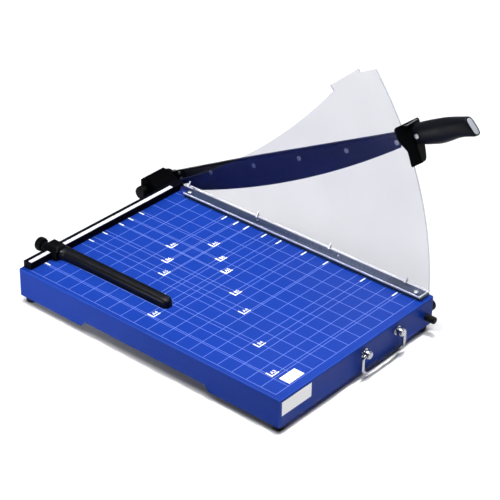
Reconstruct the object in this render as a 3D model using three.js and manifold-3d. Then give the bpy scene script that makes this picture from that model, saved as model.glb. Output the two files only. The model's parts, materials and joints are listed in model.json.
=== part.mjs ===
// Guillotine paper cutter for sheets up to A3, with its blade arm raised. Millimetres, +Z up from the desk.
// Modelled from the corner where the cutting line meets the paper ruler, on the face of the board:
// X runs to the blade side, Y away from the operator, Z up. The last lines move the origin to the desk,
// under the middle of the whole cutter.
import * as THREE from 'three';
import { mergeVertices } from 'three/addons/utils/BufferGeometryUtils.js';
import Module from 'manifold-3d';

const wasm = await Module();
wasm.setup();

// Clearances
const seatGap = 0.3;
const runningGap = 0.3;
const cutOverrun = 1;
const weldTolerance = 1e-4;
const edgeShare = 0.3;
const buttonShare = 0.7;

// Base: one folded steel tray, open underneath
const sheet = 1.6;
const boardLeft = -333;
const boardRight = -9;
const boardFront = -463.5;
const boardBack = 17;
const cornerRight = -0.4;
const cornerBack = -445.3;
const skirtHeight = 43;
const cornerRadius = 6;
const foldRadius = 3;
const lipWidth = 22;
const recessRise = 8.6;
const recessFront = -343;
const recessBack = -105;

// Feet
const footHeight = 11;
const footTopRadius = 9.2;
const footBottomRadius = 8;
const footEdgeRound = 1.2;
const footInset = 12;
const footFrontInset = 11.5;
const footScrewRadius = 2;
const footScrewHeadRadius = 3.8;
const footScrewHeadHeight = 2.4;
const footScrewRecess = 5;
const footScrewReach = 5;

// Stiffening channels under the board
const ribWidth = 30;
const ribDepth = 12;
const ribFlange = 9;
const ribEndClear = 8;
const ribBackY = -150;
const ribFrontY = -312;

// Paper ruler
const rulerLeft = -325;
const rulerRight = -6;
const rulerDepth = 13;
const rulerHeight = 10.5;
const rulerGrooveDepth = 2.2;
const rulerGrooveHeight = 6.4;
const stripLeft = rulerLeft;
const stripRight = -29;
const stripWidth = 9;
const stripThickness = 0.7;
const stripFront = 0.9;
const rulerScrewRadius = 2;
const rulerScrewHeadRadius = 4;
const rulerScrewHeadHeight = 2.2;
const rulerScrewReach = 5.5;
const rulerScrewInset = 38;

// Bed knife on the blade side of the board
const knifeThickness = 3.9;
const knifeHeight = 22;
const railHeight = 26;
const railBack = 9;
const railFront = -445;
const railEndRadius = 3;
const knifeScrewRadius = 2;
const knifeScrewHeadRadius = 4;
const knifeScrewInset = 60;
const knifeScrewCount = 4;
const nutRadius = 4.2;
const nutHeight = 3.2;

// Pivot of the blade arm
const pivotY = 42;
const pivotZ = -3;
const restAngle = THREE.MathUtils.degToRad(26.7);
const shaftRadius = 6;
const housingLeft = -48;
const housingRight = -2.5;
const housingBack = 50.5;
const housingTop = 17.5;
const housingBottom = -37;
const housingTopFront = 33;
const housingNoseHeight = 9;
const housingNoseFront = 13.4;
const housingBackChamfer = 4;
const housingFootDepth = 22;
const housingEndChamfer = 3;
const boltRadius = 3;
const boltHeadRadius = 5;
const boltHeadHeight = 4;
const boltReach = 18;
const boltZ = -25;
const boltInset = 10.5;
const boltInnerInset = 18;
const capRadius = 10.4;
const capLength = 12;
const capRound = 3;
const thrustWasherRadius = 12;
const thrustWasherThickness = 2.2;
const discSpringRadius = 11;
const discSpringThickness = 0.9;
const discSpringDish = 0.7;
const pivotNutRadius = 10.5;
const pivotNutHeight = 7.5;
const shaftTip = 1;

// Blade arm, in its own frame: along the arm from the pivot, and upwards across it
const bladeInner = 0.3;
const bladeThickness = 2.7;
const barThickness = 6;
const hubRadius = 15;
const barTop = 12.7;
const barRootTop = 10.3;
const barRootReach = 24;
const barShoulderReach = 170;
const barBottom = -12;
const barReach = 496;
const bladeStart = 46;
const bladeEndInset = 14;
const bladeEnd = barReach - bladeEndInset;
const bladeTop = 9;
const bladeBelly = -32.6;
const bladeBellyReach = 215;
const bladeTip = -8;
const bladeBevel = 4;
const bladeLand = 0.5;
const bladeRootRound = 12;
const bladeStations = 22;
const bladeScrewFirst = 101;
const bladeScrewLastInset = 5;
const bladeScrewCount = 5;
const bladeScrewPitch = (bladeEnd - bladeScrewLastInset - bladeScrewFirst) / (bladeScrewCount - 1);
const bladeScrewZ = -0.5;
const bladeScrewRadius = 2;
const bladeScrewHeadRadius = 3.7;
const bladeScrewHeadDepth = 1.7;
const rootScrewReach = 31;
const rootScrewHighZ = 6.4;
const rootScrewLowZ = -2.6;
const rootScrewRadius = 1.6;
const rootScrewHeadRadius = 2.7;
const rootScrewHeadHeight = 2;
const tangCentreZ = 5.5;
const tangHeight = 12;
const tangLength = 82.5;

// Hand guard and grip on the arm's tang
const hiltGap = 11.5;
const hiltInner = barReach + hiltGap;
const tangReach = hiltInner + tangLength;
const hiltThickness = 7;
const hiltTopLeftX = -28.5;
const hiltTopLeftZ = 26.5;
const hiltTopRightX = 23.5;
const hiltTopRightZ = 24.5;
const hiltWaistLeftX = -18.5;
const hiltWaistZ = -10;
const hiltFootLeftX = -20.5;
const hiltFootZ = -32;
const hiltWaistRightX = 20;
const hiltFootRightX = 9;
const hiltCornerRadius = 5;
const hiltRoofLeftX = -14;
const hiltRoofRightX = 16;
const hiltRoof = 6;
const hiltRoofThickness = 2.5;
const gripStart = hiltInner + hiltThickness + seatGap;
const gripTipLength = 20;
const gripEnd = tangReach + gripTipLength;
const gripCentreX = 6.3;
const gripRivetInset = 13;
const gripRivetReach = hiltInner + gripRivetInset;
const gripRivetRadius = 2.6;
const gripRivetHeadRadius = 3.6;
const gripRivetHeadHeight = 1.2;
const gripSides = 20;
const capInset = 3.2;
const capThickness = 2.6;
// Stations of the grip: share of its length, centre height, half height and half width
const gripStationShares = [0, 0.08, 0.22, 0.4, 0.56, 0.7, 0.82, 0.92, 0.98, 1];
const gripCentreShares = [1.0, 1.0, 1.03, 1.05, 1.1, 1.18, 1.16, 0.98, 0.88, 0.86];
const gripHalfHeightShares = [0.86, 0.97, 1.03, 1.02, 0.95, 0.83, 0.8, 0.86, 0.84, 0.76];
const gripHalfWidthShares = [0.84, 0.94, 1.0, 1.0, 0.97, 0.9, 0.88, 0.92, 0.88, 0.78];
const gripHalfHeight = 15.6;
const gripHalfWidth = 12.6;
const gripEndSlant = 5;

// Clear guard and the press bar that carries it
const guardThickness = 2.8;
const guardOuterX = -1.6;
const guardFlangeWidth = 24.8;
const guardFront = -456.5;
const guardFlangeBack = -3;
const guardPlateBack = 12;
const guardRearRadius = 14;
const guardRimGap = 9.5;
const guardRimRadius = hiltInner - guardRimGap;
const guardTipAngle = THREE.MathUtils.degToRad(38.8);
const guardTabOuterReach = 470;
const guardTabLength = 52;
const guardTabInnerReach = guardTabOuterReach - guardTabLength;
const guardTabAngle = THREE.MathUtils.degToRad(40.2);
const guardNotchDepth = 8;
const guardNotchReach = guardTabInnerReach - guardNotchDepth;
const guardNotchAngle = THREE.MathUtils.degToRad(38.9);
const guardSweepControlY = -159;
const guardSweepControlZ = 107;
const guardSweepEndZ = 9.5;
const gussetWidth = 6;
const gussetHeight = 8;
const gussetThickness = 2.4;
const gussetBack = -10;
const gussetPitch = 136;
const gussetCount = 4;
const pressGap = 2.2;
const pressThickness = 2.6;
const pressSideInset = 0.4;
const pressRightX = -4.8;
const pressFront = -458;
const guardScrewRadius = 1.6;
const guardScrewHeadRadius = 3;
const guardScrewHeadHeight = 1.1;
const guardScrewCount = 2;
const guardScrewX = -15;

// Guide posts of the press bar, with their springs and cups under the board
const postX = -19.5;
const postFrontY = -446;
const postBackY = -24;
const postRadius = 2.4;
const postHeadRadius = 4;
const postHeadHeight = 1.8;
const postCollarRadius = 4.4;
const postCollarHeight = 2;
const postTailReach = 8.5;
const cupOuterRadius = 7;
const cupWall = 1.4;
const cupDepth = 20;
const springWire = 0.6;
const springTurns = 6;
const springStepsPerTurn = 7;
const springWireSides = 5;

// Paper stop that slides along the ruler
const stopCentreX = -271;
const stopWidth = 30;
const stopTop = 20.5;
const stopNoseDepth = 10;
const stopHeelDepth = 6.5;
const stopChamfer = 4;
const stopBarLeft = -274;
const stopBarWidth = 17.5;
const stopBarHeight = 13.6;
const stopBarLift = 0.4;
const stopBarEnd = -212;
const stopBarTipRadius = 11;
const stopBarChamfer = 1.6;
const stopTongueDepth = 7;
const stopTongueInset = 4;
const stopTongueHeight = 7;
const knobRadius = 10.9;
const knobLobe = 0.5;
const knobLobes = 14;
const knobBack = 40;
const knobThickness = 10;
const knobNeckRadius = 7;
const knobChamfer = 1.2;
const spindleRadius = 3;
const spindleTipGap = 0.4;

// Carry handle on the front skirt
const bailCentreX = -121;
const bailPostSpacing = 73;
const bailPostZ = -15;
const bailPostRadius = 4.4;
const bailPostFlangeRadius = 5.6;
const bailPostFlangeThickness = 1.5;
const bailPostLength = 11.5;
const bailPostCapRadius = 5;
const bailPostCapThickness = 1.5;
const bailAxisReach = 6;
const bailRadius = 2.3;
const bailSideReach = 9.5;
const bailHalfWidth = bailPostSpacing / 2 + bailSideReach;
const bailDrop = 29;
const bailTopBend = 5;
const bailBottomBend = 11;
const bailPinReach = 4;
const bailBendSteps = 6;
const bailSides = 10;

// Rubber buffers at the blade-side corner
const frontBufferX = -16;
const frontBufferZ = -27.4;
const frontBufferRadius = 5.2;
const frontBufferLength = 15.3;
const sideBufferY = -454.4;
const sideBufferZ = -20.9;
const sideBufferRadius = 8.6;
const sideBufferReach = 8;
const bufferRound = 1.6;

// Worked out from the sizes above
const boardUnder = -sheet;
const skirtBottom = -skirtHeight;
const footPlaces = [
  ['front_left', boardLeft + footInset, boardFront + footFrontInset],
  ['rear_left', boardLeft + footInset, boardBack - footFrontInset],
  ['front_right', cornerRight - footInset, boardFront + footFrontInset],
  ['rear_right', boardRight - footInset, boardBack - footFrontInset],
];
const barInner = bladeInner + bladeThickness + seatGap;
const barOuter = barInner + barThickness;
const barMiddle = barInner + barThickness / 2;
const guardInnerX = guardOuterX - guardThickness;
const flangeLeft = guardOuterX - guardFlangeWidth;
const pressTop = pressGap + pressThickness;
const flangeTop = pressTop + guardThickness;
const bailAxisY = boardFront - bailAxisReach;
const railInner = boardRight;
const railOuter = -knifeThickness - seatGap;

// Materials, as seen in daylight
const finish = {
  blueEnamel: new THREE.MeshStandardMaterial({ color: 0x1f44c0, roughness: 0.42, metalness: 0.1 }),
  blackSteel: new THREE.MeshStandardMaterial({ color: 0x16171c, roughness: 0.38, metalness: 0.6 }),
  blackCasting: new THREE.MeshStandardMaterial({ color: 0x17181b, roughness: 0.6, metalness: 0.3 }),
  blackPlastic: new THREE.MeshStandardMaterial({ color: 0x141518, roughness: 0.55, metalness: 0 }),
  gripPlastic: new THREE.MeshStandardMaterial({ color: 0x1c2026, roughness: 0.5, metalness: 0 }),
  rubber: new THREE.MeshStandardMaterial({ color: 0x0e0e10, roughness: 0.85, metalness: 0 }),
  clearPlate: new THREE.MeshStandardMaterial({
    color: 0xe3e1f0, roughness: 0.25, metalness: 0, transparent: true, opacity: 0.35,
  }),
  whiteStrip: new THREE.MeshStandardMaterial({ color: 0xe9e9ee, roughness: 0.5, metalness: 0.1 }),
  brightSteel: new THREE.MeshStandardMaterial({ color: 0xc4c8ce, roughness: 0.3, metalness: 1 }),
  bladeSteel: new THREE.MeshStandardMaterial({ color: 0x23283c, roughness: 0.25, metalness: 0.8 }),
  chrome: new THREE.MeshStandardMaterial({ color: 0xdcdcd8, roughness: 0.12, metalness: 1 }),
  greyPlastic: new THREE.MeshStandardMaterial({ color: 0xa6a9ad, roughness: 0.5, metalness: 0 }),
};

const cutter = new THREE.Group();
const arm = new THREE.Group();
arm.position.set(0, pivotY, pivotZ);
arm.rotation.x = -restAngle;
cutter.add(arm);

// Makes closed faces into a solid, with its faces turned outwards
function closed(positions, faces) {
  const build = (corners) => new wasm.Manifold(new wasm.Mesh({
    numProp: 3,
    vertProperties: new Float32Array(positions),
    triVerts: new Uint32Array(corners),
  }));
  const body = build(faces);
  return body.volume() < 0 ? build(Array.from(faces).reverse()) : body;
}

// Makes a closed geometry into a solid that can be cut and joined
function solid(geometry) {
  const bare = geometry.index ? geometry.toNonIndexed() : geometry.clone();
  bare.deleteAttribute('normal');
  bare.deleteAttribute('uv');
  const welded = mergeVertices(bare, weldTolerance);
  return closed(welded.attributes.position.array, welded.index.array);
}

// Puts a finished solid into the scene under its name
function place(name, body, material, parent = cutter) {
  const mesh = body.getMesh();
  const geometry = new THREE.BufferGeometry();
  geometry.setAttribute('position', new THREE.BufferAttribute(mesh.vertProperties, 3));
  geometry.setIndex(new THREE.BufferAttribute(mesh.triVerts, 1));
  geometry.computeVertexNormals();
  const piece = new THREE.Mesh(geometry, material);
  piece.name = name;
  parent.add(piece);
  return piece;
}

function join(...bodies) {
  return bodies.reduce((whole, next) => whole.add(next));
}

function cut(body, ...tools) {
  return tools.reduce((rest, tool) => rest.subtract(tool), body);
}

// A shape drawn in Y and Z, extruded along X
function alongX(shape, from, to, steps = 16) {
  const geometry = new THREE.ExtrudeGeometry(shape, {
    depth: to - from, bevelEnabled: false, curveSegments: steps,
  });
  geometry.applyMatrix4(new THREE.Matrix4().makeBasis(
    new THREE.Vector3(0, 1, 0), new THREE.Vector3(0, 0, 1), new THREE.Vector3(1, 0, 0),
  ));
  geometry.translate(from, 0, 0);
  return solid(geometry);
}

// A shape drawn in X and Z, extruded along Y
function alongY(shape, from, to, steps = 12) {
  const geometry = new THREE.ExtrudeGeometry(shape, {
    depth: to - from, bevelEnabled: false, curveSegments: steps,
  });
  geometry.applyMatrix4(new THREE.Matrix4().makeBasis(
    new THREE.Vector3(1, 0, 0), new THREE.Vector3(0, 0, 1), new THREE.Vector3(0, -1, 0),
  ));
  geometry.translate(0, to, 0);
  return solid(geometry);
}

// A shape drawn in X and Y, extruded along Z
function alongZ(shape, from, to, steps = 12) {
  const geometry = new THREE.ExtrudeGeometry(shape, {
    depth: to - from, bevelEnabled: false, curveSegments: steps,
  });
  geometry.translate(0, 0, from);
  return solid(geometry);
}

function block(x0, x1, y0, y1, z0, z1) {
  const geometry = new THREE.BoxGeometry(x1 - x0, y1 - y0, z1 - z0);
  geometry.translate((x0 + x1) / 2, (y0 + y1) / 2, (z0 + z1) / 2);
  return solid(geometry);
}

// A turned piece: its profile gives radius and distance along the axis, from the axis back to the axis
function turned(profile, axis, centre, sides = 24) {
  const points = profile.map(([radius, along]) => new THREE.Vector2(radius, along));
  const geometry = new THREE.LatheGeometry(points, sides);
  const turn = new THREE.Quaternion().setFromUnitVectors(new THREE.Vector3(0, 1, 0), axis);
  geometry.applyQuaternion(turn);
  geometry.translate(centre[0], centre[1], centre[2]);
  return solid(geometry);
}

const axisX = new THREE.Vector3(1, 0, 0);
const axisY = new THREE.Vector3(0, 1, 0);
const axisZ = new THREE.Vector3(0, 0, 1);

// A plain round rod or bore along an axis, from one distance to another
function rod(radius, axis, centre, from, to, sides = 20) {
  const along = [centre[0] + axis.x * from, centre[1] + axis.y * from, centre[2] + axis.z * from];
  return turned([[0, 0], [radius, 0], [radius, to - from], [0, to - from]], axis, along, sides);
}

function polygon(points) {
  return new THREE.Shape(points.map(([a, b]) => new THREE.Vector2(a, b)));
}

// A hexagonal nut standing along an axis
function hexNut(radius, axis, centre, from, to) {
  return rod(radius, axis, centre, from, to, 6);
}

// Closed skin through rings of points that all have the same count
function loft(rings) {
  const count = rings[0].length;
  const positions = rings.flat().flatMap((point) => [point.x, point.y, point.z]);
  const faces = [];
  for (let ring = 0; ring < rings.length - 1; ring += 1) {
    for (let side = 0; side < count; side += 1) {
      const a = ring * count + side;
      const b = ring * count + (side + 1) % count;
      faces.push(a, b, b + count, a, b + count, a + count);
    }
  }
  const last = (rings.length - 1) * count;
  for (let side = 1; side < count - 1; side += 1) {
    faces.push(0, side + 1, side);
    faces.push(last, last + side, last + side + 1);
  }
  return closed(positions, faces);
}

// Places that several pieces share
const knifeScrewY = Array.from({ length: knifeScrewCount }, (unused, index) => (
  railFront + knifeScrewInset
  + index * (railBack - railFront - 2 * knifeScrewInset) / (knifeScrewCount - 1)
));
const knifeScrewZ = -railHeight / 2;
const rulerScrewX = [rulerLeft + rulerScrewInset, rulerRight - rulerScrewInset];
const rulerScrewY = rulerDepth / 2;
const boltX = [housingLeft + boltInset, housingRight - boltInnerInset];
const postY = [postFrontY, postBackY];
const bailPostX = [bailCentreX - bailPostSpacing / 2, bailCentreX + bailPostSpacing / 2];

// Plan of the board: its right side steps in behind the front corner to make room for the bed knife
function boardOutline(inset, radius) {
  const left = boardLeft + inset;
  const right = cornerRight - inset;
  const step = boardRight - inset;
  const front = boardFront + inset;
  const stepBack = cornerBack - inset;
  const back = boardBack - inset;
  const shape = new THREE.Shape();
  shape.moveTo(left + radius, front);
  shape.lineTo(right - radius, front);
  shape.absarc(right - radius, front + radius, radius, -Math.PI / 2, 0);
  shape.lineTo(right, stepBack);
  shape.lineTo(step, stepBack);
  shape.lineTo(step, back - radius);
  shape.absarc(step - radius, back - radius, radius, 0, Math.PI / 2);
  shape.lineTo(left + radius, back);
  shape.absarc(left + radius, back - radius, radius, Math.PI / 2, Math.PI);
  shape.lineTo(left, front + radius);
  shape.absarc(left + radius, front + radius, radius, Math.PI, 1.5 * Math.PI);
  return shape;
}

// Base tray: skirts folded down from the board, lips folded in for the feet, a grip recess each side
function makeBaseShell() {
  const outline = boardOutline(0, cornerRadius);
  const outer = new THREE.ExtrudeGeometry(outline, {
    depth: skirtHeight,
    bevelEnabled: true,
    bevelThickness: foldRadius,
    bevelSize: foldRadius,
    bevelOffset: -foldRadius,
    bevelSegments: 3,
    curveSegments: 4,
  });
  outer.translate(0, 0, skirtBottom - foldRadius);
  const below = block(
    boardLeft - cutOverrun, cornerRight + cutOverrun, boardFront - cutOverrun, boardBack + cutOverrun,
    skirtBottom - 3 * foldRadius, skirtBottom,
  );
  const cavity = alongZ(boardOutline(sheet, cornerRadius - sheet), skirtBottom - cutOverrun, boardUnder, 5);
  const lips = [boardFront + sheet, boardBack - sheet - lipWidth].map((y) => block(
    boardLeft + cornerRadius, boardRight - cornerRadius, y, y + lipWidth, skirtBottom, skirtBottom + sheet,
  ));
  const lipRoots = [boardFront + sheet / 2, boardBack - sheet * 1.5].map((y) => block(
    boardLeft + cornerRadius, boardRight - cornerRadius, y, y + sheet, skirtBottom, skirtBottom + sheet,
  ));
  const cornerLip = block(
    boardRight - cornerRadius, cornerRight - sheet / 2,
    boardFront + sheet / 2, cornerBack - sheet / 2, skirtBottom, skirtBottom + sheet,
  );
  const recess = alongX(polygon([
    [recessFront, skirtBottom - cutOverrun],
    [recessBack, skirtBottom - cutOverrun],
    [recessBack, skirtBottom],
    [recessBack - recessRise, skirtBottom + recessRise],
    [recessFront + recessRise, skirtBottom + recessRise],
    [recessFront, skirtBottom],
  ]), boardLeft - cutOverrun, boardRight + cutOverrun);
  const footHoles = footPlaces.map(([corner, x, y]) => (
    rod(footScrewRadius + seatGap, axisZ, [x, y, 0], skirtBottom - cutOverrun, skirtBottom + 2 * sheet, 12)
  ));
  const rulerHoles = rulerScrewX.map((x) => (
    rod(rulerScrewRadius + seatGap, axisZ, [x, rulerScrewY, 0], -2 * sheet, cutOverrun, 12)
  ));
  const postHoles = postY.map((y) => (
    rod(postRadius + 2 * runningGap, axisZ, [postX, y, 0], -2 * sheet, cutOverrun, 12)
  ));
  const knifeHoles = knifeScrewY.map((y) => (
    rod(knifeScrewRadius + seatGap, axisX, [0, y, knifeScrewZ], boardRight - 2 * sheet, cutOverrun, 12)
  ));
  const boltHoles = boltX.map((x) => (
    rod(boltRadius + seatGap, axisY, [x, 0, boltZ], boardBack - 2 * sheet, boardBack + cutOverrun, 12)
  ));
  const skirts = cut(solid(outer), below, cavity, recess);
  return cut(
    join(skirts, ...lips, ...lipRoots, cornerLip),
    ...footHoles, ...rulerHoles, ...postHoles, ...knifeHoles, ...boltHoles,
  );
}

place('base_shell', makeBaseShell(), finish.blueEnamel);

// Rubber feet, each with a screw in a recess
function makeFoot(x, y) {
  const bore = footScrewRadius + seatGap;
  const recess = footScrewHeadRadius + seatGap;
  return turned([
    [bore, footHeight],
    [footTopRadius, footHeight],
    [footBottomRadius, footEdgeRound],
    [footBottomRadius - footEdgeRound, 0],
    [recess, 0],
    [recess, footScrewRecess],
    [bore, footScrewRecess],
    [bore, footHeight],
  ], axisZ, [x, y, skirtBottom - footHeight], 16);
}

function makeFootScrew(x, y) {
  const seat = footScrewRecess - seatGap;
  return turned([
    [0, seat - footScrewHeadHeight],
    [footScrewHeadRadius, seat - footScrewHeadHeight],
    [footScrewHeadRadius, seat],
    [footScrewRadius, seat],
    [footScrewRadius, footHeight + footScrewReach],
    [0, footHeight + footScrewReach],
  ], axisZ, [x, y, skirtBottom - footHeight], 12);
}

footPlaces.forEach(([corner, x, y]) => {
  place(`${corner}_foot`, makeFoot(x, y), finish.rubber);
  place(`${corner}_foot_screw`, makeFootScrew(x, y), finish.brightSteel);
});

// Stiffening channels: a hat section with its flanges against the underside of the board
function makeRib(y) {
  const half = ribWidth / 2;
  const left = boardLeft + sheet + ribEndClear;
  const right = postX - cupOuterRadius - ribEndClear;
  const profile = polygon([
    [y - half - ribFlange, boardUnder],
    [y - half - ribFlange, boardUnder - sheet],
    [y - half, boardUnder - sheet],
    [y - half, boardUnder - ribDepth],
    [y + half, boardUnder - ribDepth],
    [y + half, boardUnder - sheet],
    [y + half + ribFlange, boardUnder - sheet],
    [y + half + ribFlange, boardUnder],
    [y + half - sheet, boardUnder],
    [y + half - sheet, boardUnder - ribDepth + sheet],
    [y - half + sheet, boardUnder - ribDepth + sheet],
    [y - half + sheet, boardUnder],
  ]);
  return alongX(profile, left, right);
}

place('rear_stiffener', makeRib(ribBackY), finish.blueEnamel);
place('front_stiffener', makeRib(ribFrontY), finish.blueEnamel);

// Ruler: a bar with a bed for its scale on top and a groove behind for the stop's clamp screw
function makeRuler() {
  const grooveMiddle = rulerHeight / 2;
  const profile = polygon([
    [0, 0],
    [rulerDepth, 0],
    [rulerDepth, grooveMiddle - rulerGrooveHeight / 2],
    [rulerDepth - rulerGrooveDepth, grooveMiddle - rulerGrooveHeight / 2],
    [rulerDepth - rulerGrooveDepth, grooveMiddle + rulerGrooveHeight / 2],
    [rulerDepth, grooveMiddle + rulerGrooveHeight / 2],
    [rulerDepth, rulerHeight],
    [0, rulerHeight],
  ]);
  const bed = block(
    rulerLeft - cutOverrun, stripRight + seatGap,
    stripFront - seatGap, stripFront + stripWidth + seatGap,
    rulerHeight - stripThickness, rulerHeight + cutOverrun,
  );
  const holes = rulerScrewX.map((x) => (
    rod(rulerScrewRadius + seatGap, axisZ, [x, rulerScrewY, 0], -cutOverrun, rulerScrewReach + seatGap, 14)
  ));
  return cut(alongX(profile, rulerLeft, rulerRight), bed, ...holes);
}

place('ruler_bar', makeRuler(), finish.blackCasting);
place('scale_strip', block(
  stripLeft, stripRight, stripFront, stripFront + stripWidth, rulerHeight - stripThickness, rulerHeight,
), finish.whiteStrip);
rulerScrewX.forEach((x, index) => {
  place(`ruler_screw_${index + 1}`, turned([
    [0, boardUnder - rulerScrewHeadHeight],
    [rulerScrewHeadRadius, boardUnder - rulerScrewHeadHeight],
    [rulerScrewHeadRadius, boardUnder],
    [rulerScrewRadius, boardUnder],
    [rulerScrewRadius, rulerScrewReach],
    [0, rulerScrewReach],
  ], axisZ, [x, rulerScrewY, 0], 16), finish.brightSteel);
});

// Bed knife on its rail, held by countersunk screws with nuts inside the skirt
function railOutline(height) {
  const shape = new THREE.Shape();
  shape.moveTo(railBack, 0);
  shape.lineTo(railFront, 0);
  shape.lineTo(railFront, -height + railEndRadius);
  shape.absarc(railFront + railEndRadius, -height + railEndRadius, railEndRadius, Math.PI, 1.5 * Math.PI);
  shape.lineTo(railBack, -height);
  return shape;
}

const knifeBores = knifeScrewY.map((y) => (
  rod(knifeScrewRadius + seatGap, axisX, [0, y, knifeScrewZ], railInner - cutOverrun, cutOverrun, 12)
));
const headLength = knifeThickness - 2 * seatGap;
const knifeSinks = knifeScrewY.map((y) => turned([
  [0, -knifeThickness],
  [knifeScrewRadius + seatGap, -headLength - seatGap],
  [knifeScrewHeadRadius + seatGap, -seatGap],
  [knifeScrewHeadRadius + seatGap, cutOverrun],
  [0, cutOverrun],
], axisX, [0, y, knifeScrewZ], 12));
place('bed_rail', cut(alongX(railOutline(railHeight), railInner, railOuter, 8), ...knifeBores), finish.blackSteel);
place(
  'bed_knife',
  cut(alongX(railOutline(knifeHeight), railOuter + seatGap, 0, 8), ...knifeBores, ...knifeSinks),
  finish.bladeSteel,
);
knifeScrewY.forEach((y, index) => {
  const nutEnd = boardRight - sheet - seatGap;
  const screw = turned([
    [0, nutEnd - nutHeight - seatGap],
    [knifeScrewRadius, nutEnd - nutHeight - seatGap],
    [knifeScrewRadius, -headLength - seatGap],
    [knifeScrewHeadRadius, -seatGap],
    [0, -seatGap],
  ], axisX, [0, y, knifeScrewZ], 12);
  const nut = hexNut(nutRadius, axisX, [0, y, knifeScrewZ], nutEnd - nutHeight, nutEnd);
  place(`knife_screw_${index + 1}`, join(screw, nut), finish.brightSteel);
});

// Pivot housing bolted behind the board, with the shaft through it
function makeHousing() {
  const front = boardBack;
  const profile = polygon([
    [front, housingBottom],
    [front + housingFootDepth, housingBottom],
    [housingBack, pivotZ - capRadius],
    [housingBack, housingTop - housingBackChamfer],
    [housingBack - housingBackChamfer, housingTop],
    [housingTopFront, housingTop],
    [housingNoseFront, housingNoseHeight],
    [housingNoseFront, seatGap],
    [front, seatGap],
  ]);
  const body = alongX(profile, housingLeft, housingRight);
  const leftBevel = alongY(polygon([
    [housingLeft - cutOverrun, housingTop + cutOverrun],
    [housingLeft - cutOverrun, housingTop - housingEndChamfer - cutOverrun],
    [housingLeft + housingEndChamfer + cutOverrun, housingTop + cutOverrun],
  ]), housingNoseFront - cutOverrun, housingBack + cutOverrun);
  const bore = rod(
    shaftRadius + seatGap, axisX, [0, pivotY, pivotZ], housingLeft - cutOverrun, housingRight + cutOverrun, 24,
  );
  const boltBores = boltX.map((x) => (
    rod(boltRadius + seatGap, axisY, [x, 0, boltZ], front - cutOverrun, front + boltReach - sheet, 16)
  ));
  return cut(body, leftBevel, bore, ...boltBores);
}

place('pivot_housing', makeHousing(), finish.blackCasting);
boltX.forEach((x, index) => {
  const seat = boardBack - sheet;
  const shank = rod(boltRadius, axisY, [x, 0, boltZ], seat, seat + boltReach - seatGap, 16);
  const head = hexNut(boltHeadRadius, axisY, [x, 0, boltZ], seat - boltHeadHeight, seat);
  place(`housing_bolt_${index + 1}`, join(shank, head), finish.brightSteel);
});

const hubInner = housingRight + thrustWasherThickness + seatGap;
const washerStart = barOuter + runningGap;
const washerEnd = washerStart + discSpringThickness + discSpringDish;
const nutStart = washerEnd + runningGap;
const capFace = housingLeft - seatGap;
const shaftLeft = capFace - capLength + capRound;
const shaftRight = nutStart + pivotNutHeight + shaftTip;
const pivotCentre = [0, pivotY, pivotZ];

place('pivot_shaft', rod(shaftRadius, axisX, pivotCentre, shaftLeft, shaftRight, 28), finish.brightSteel);
place('shaft_cap', turned([
  [0, capFace - capLength],
  [capRadius - capRound, capFace - capLength],
  [capRadius - capRound * edgeShare, capFace - capLength + capRound * edgeShare],
  [capRadius, capFace - capLength + capRound],
  [capRadius, capFace],
  [shaftRadius + seatGap, capFace],
  [shaftRadius + seatGap, shaftLeft - seatGap],
  [0, shaftLeft - seatGap],
], axisX, pivotCentre, 24), finish.blackPlastic);
place('thrust_washer', turned([
  [shaftRadius + seatGap, housingRight],
  [thrustWasherRadius, housingRight],
  [thrustWasherRadius, housingRight + thrustWasherThickness],
  [shaftRadius + seatGap, housingRight + thrustWasherThickness],
  [shaftRadius + seatGap, housingRight],
], axisX, pivotCentre, 20), finish.brightSteel);
place('disc_spring', turned([
  [shaftRadius + seatGap, washerStart + discSpringDish],
  [discSpringRadius, washerStart],
  [discSpringRadius, washerStart + discSpringThickness],
  [shaftRadius + seatGap, washerEnd],
  [shaftRadius + seatGap, washerStart + discSpringDish],
], axisX, pivotCentre, 20), finish.brightSteel);
place('pivot_nut', cut(
  hexNut(pivotNutRadius, axisX, pivotCentre, nutStart, nutStart + pivotNutHeight),
  rod(shaftRadius + seatGap, axisX, pivotCentre, nutStart - cutOverrun, shaftRight + cutOverrun, 28),
), finish.brightSteel);

// Blade arm: a flat bar with a round hub, and a tang that runs on into the grip
const bladeScrewReach = Array.from({ length: bladeScrewCount }, (unused, index) => (
  bladeScrewFirst + index * bladeScrewPitch
));
const rootScrewZ = [rootScrewHighZ, rootScrewLowZ];

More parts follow.
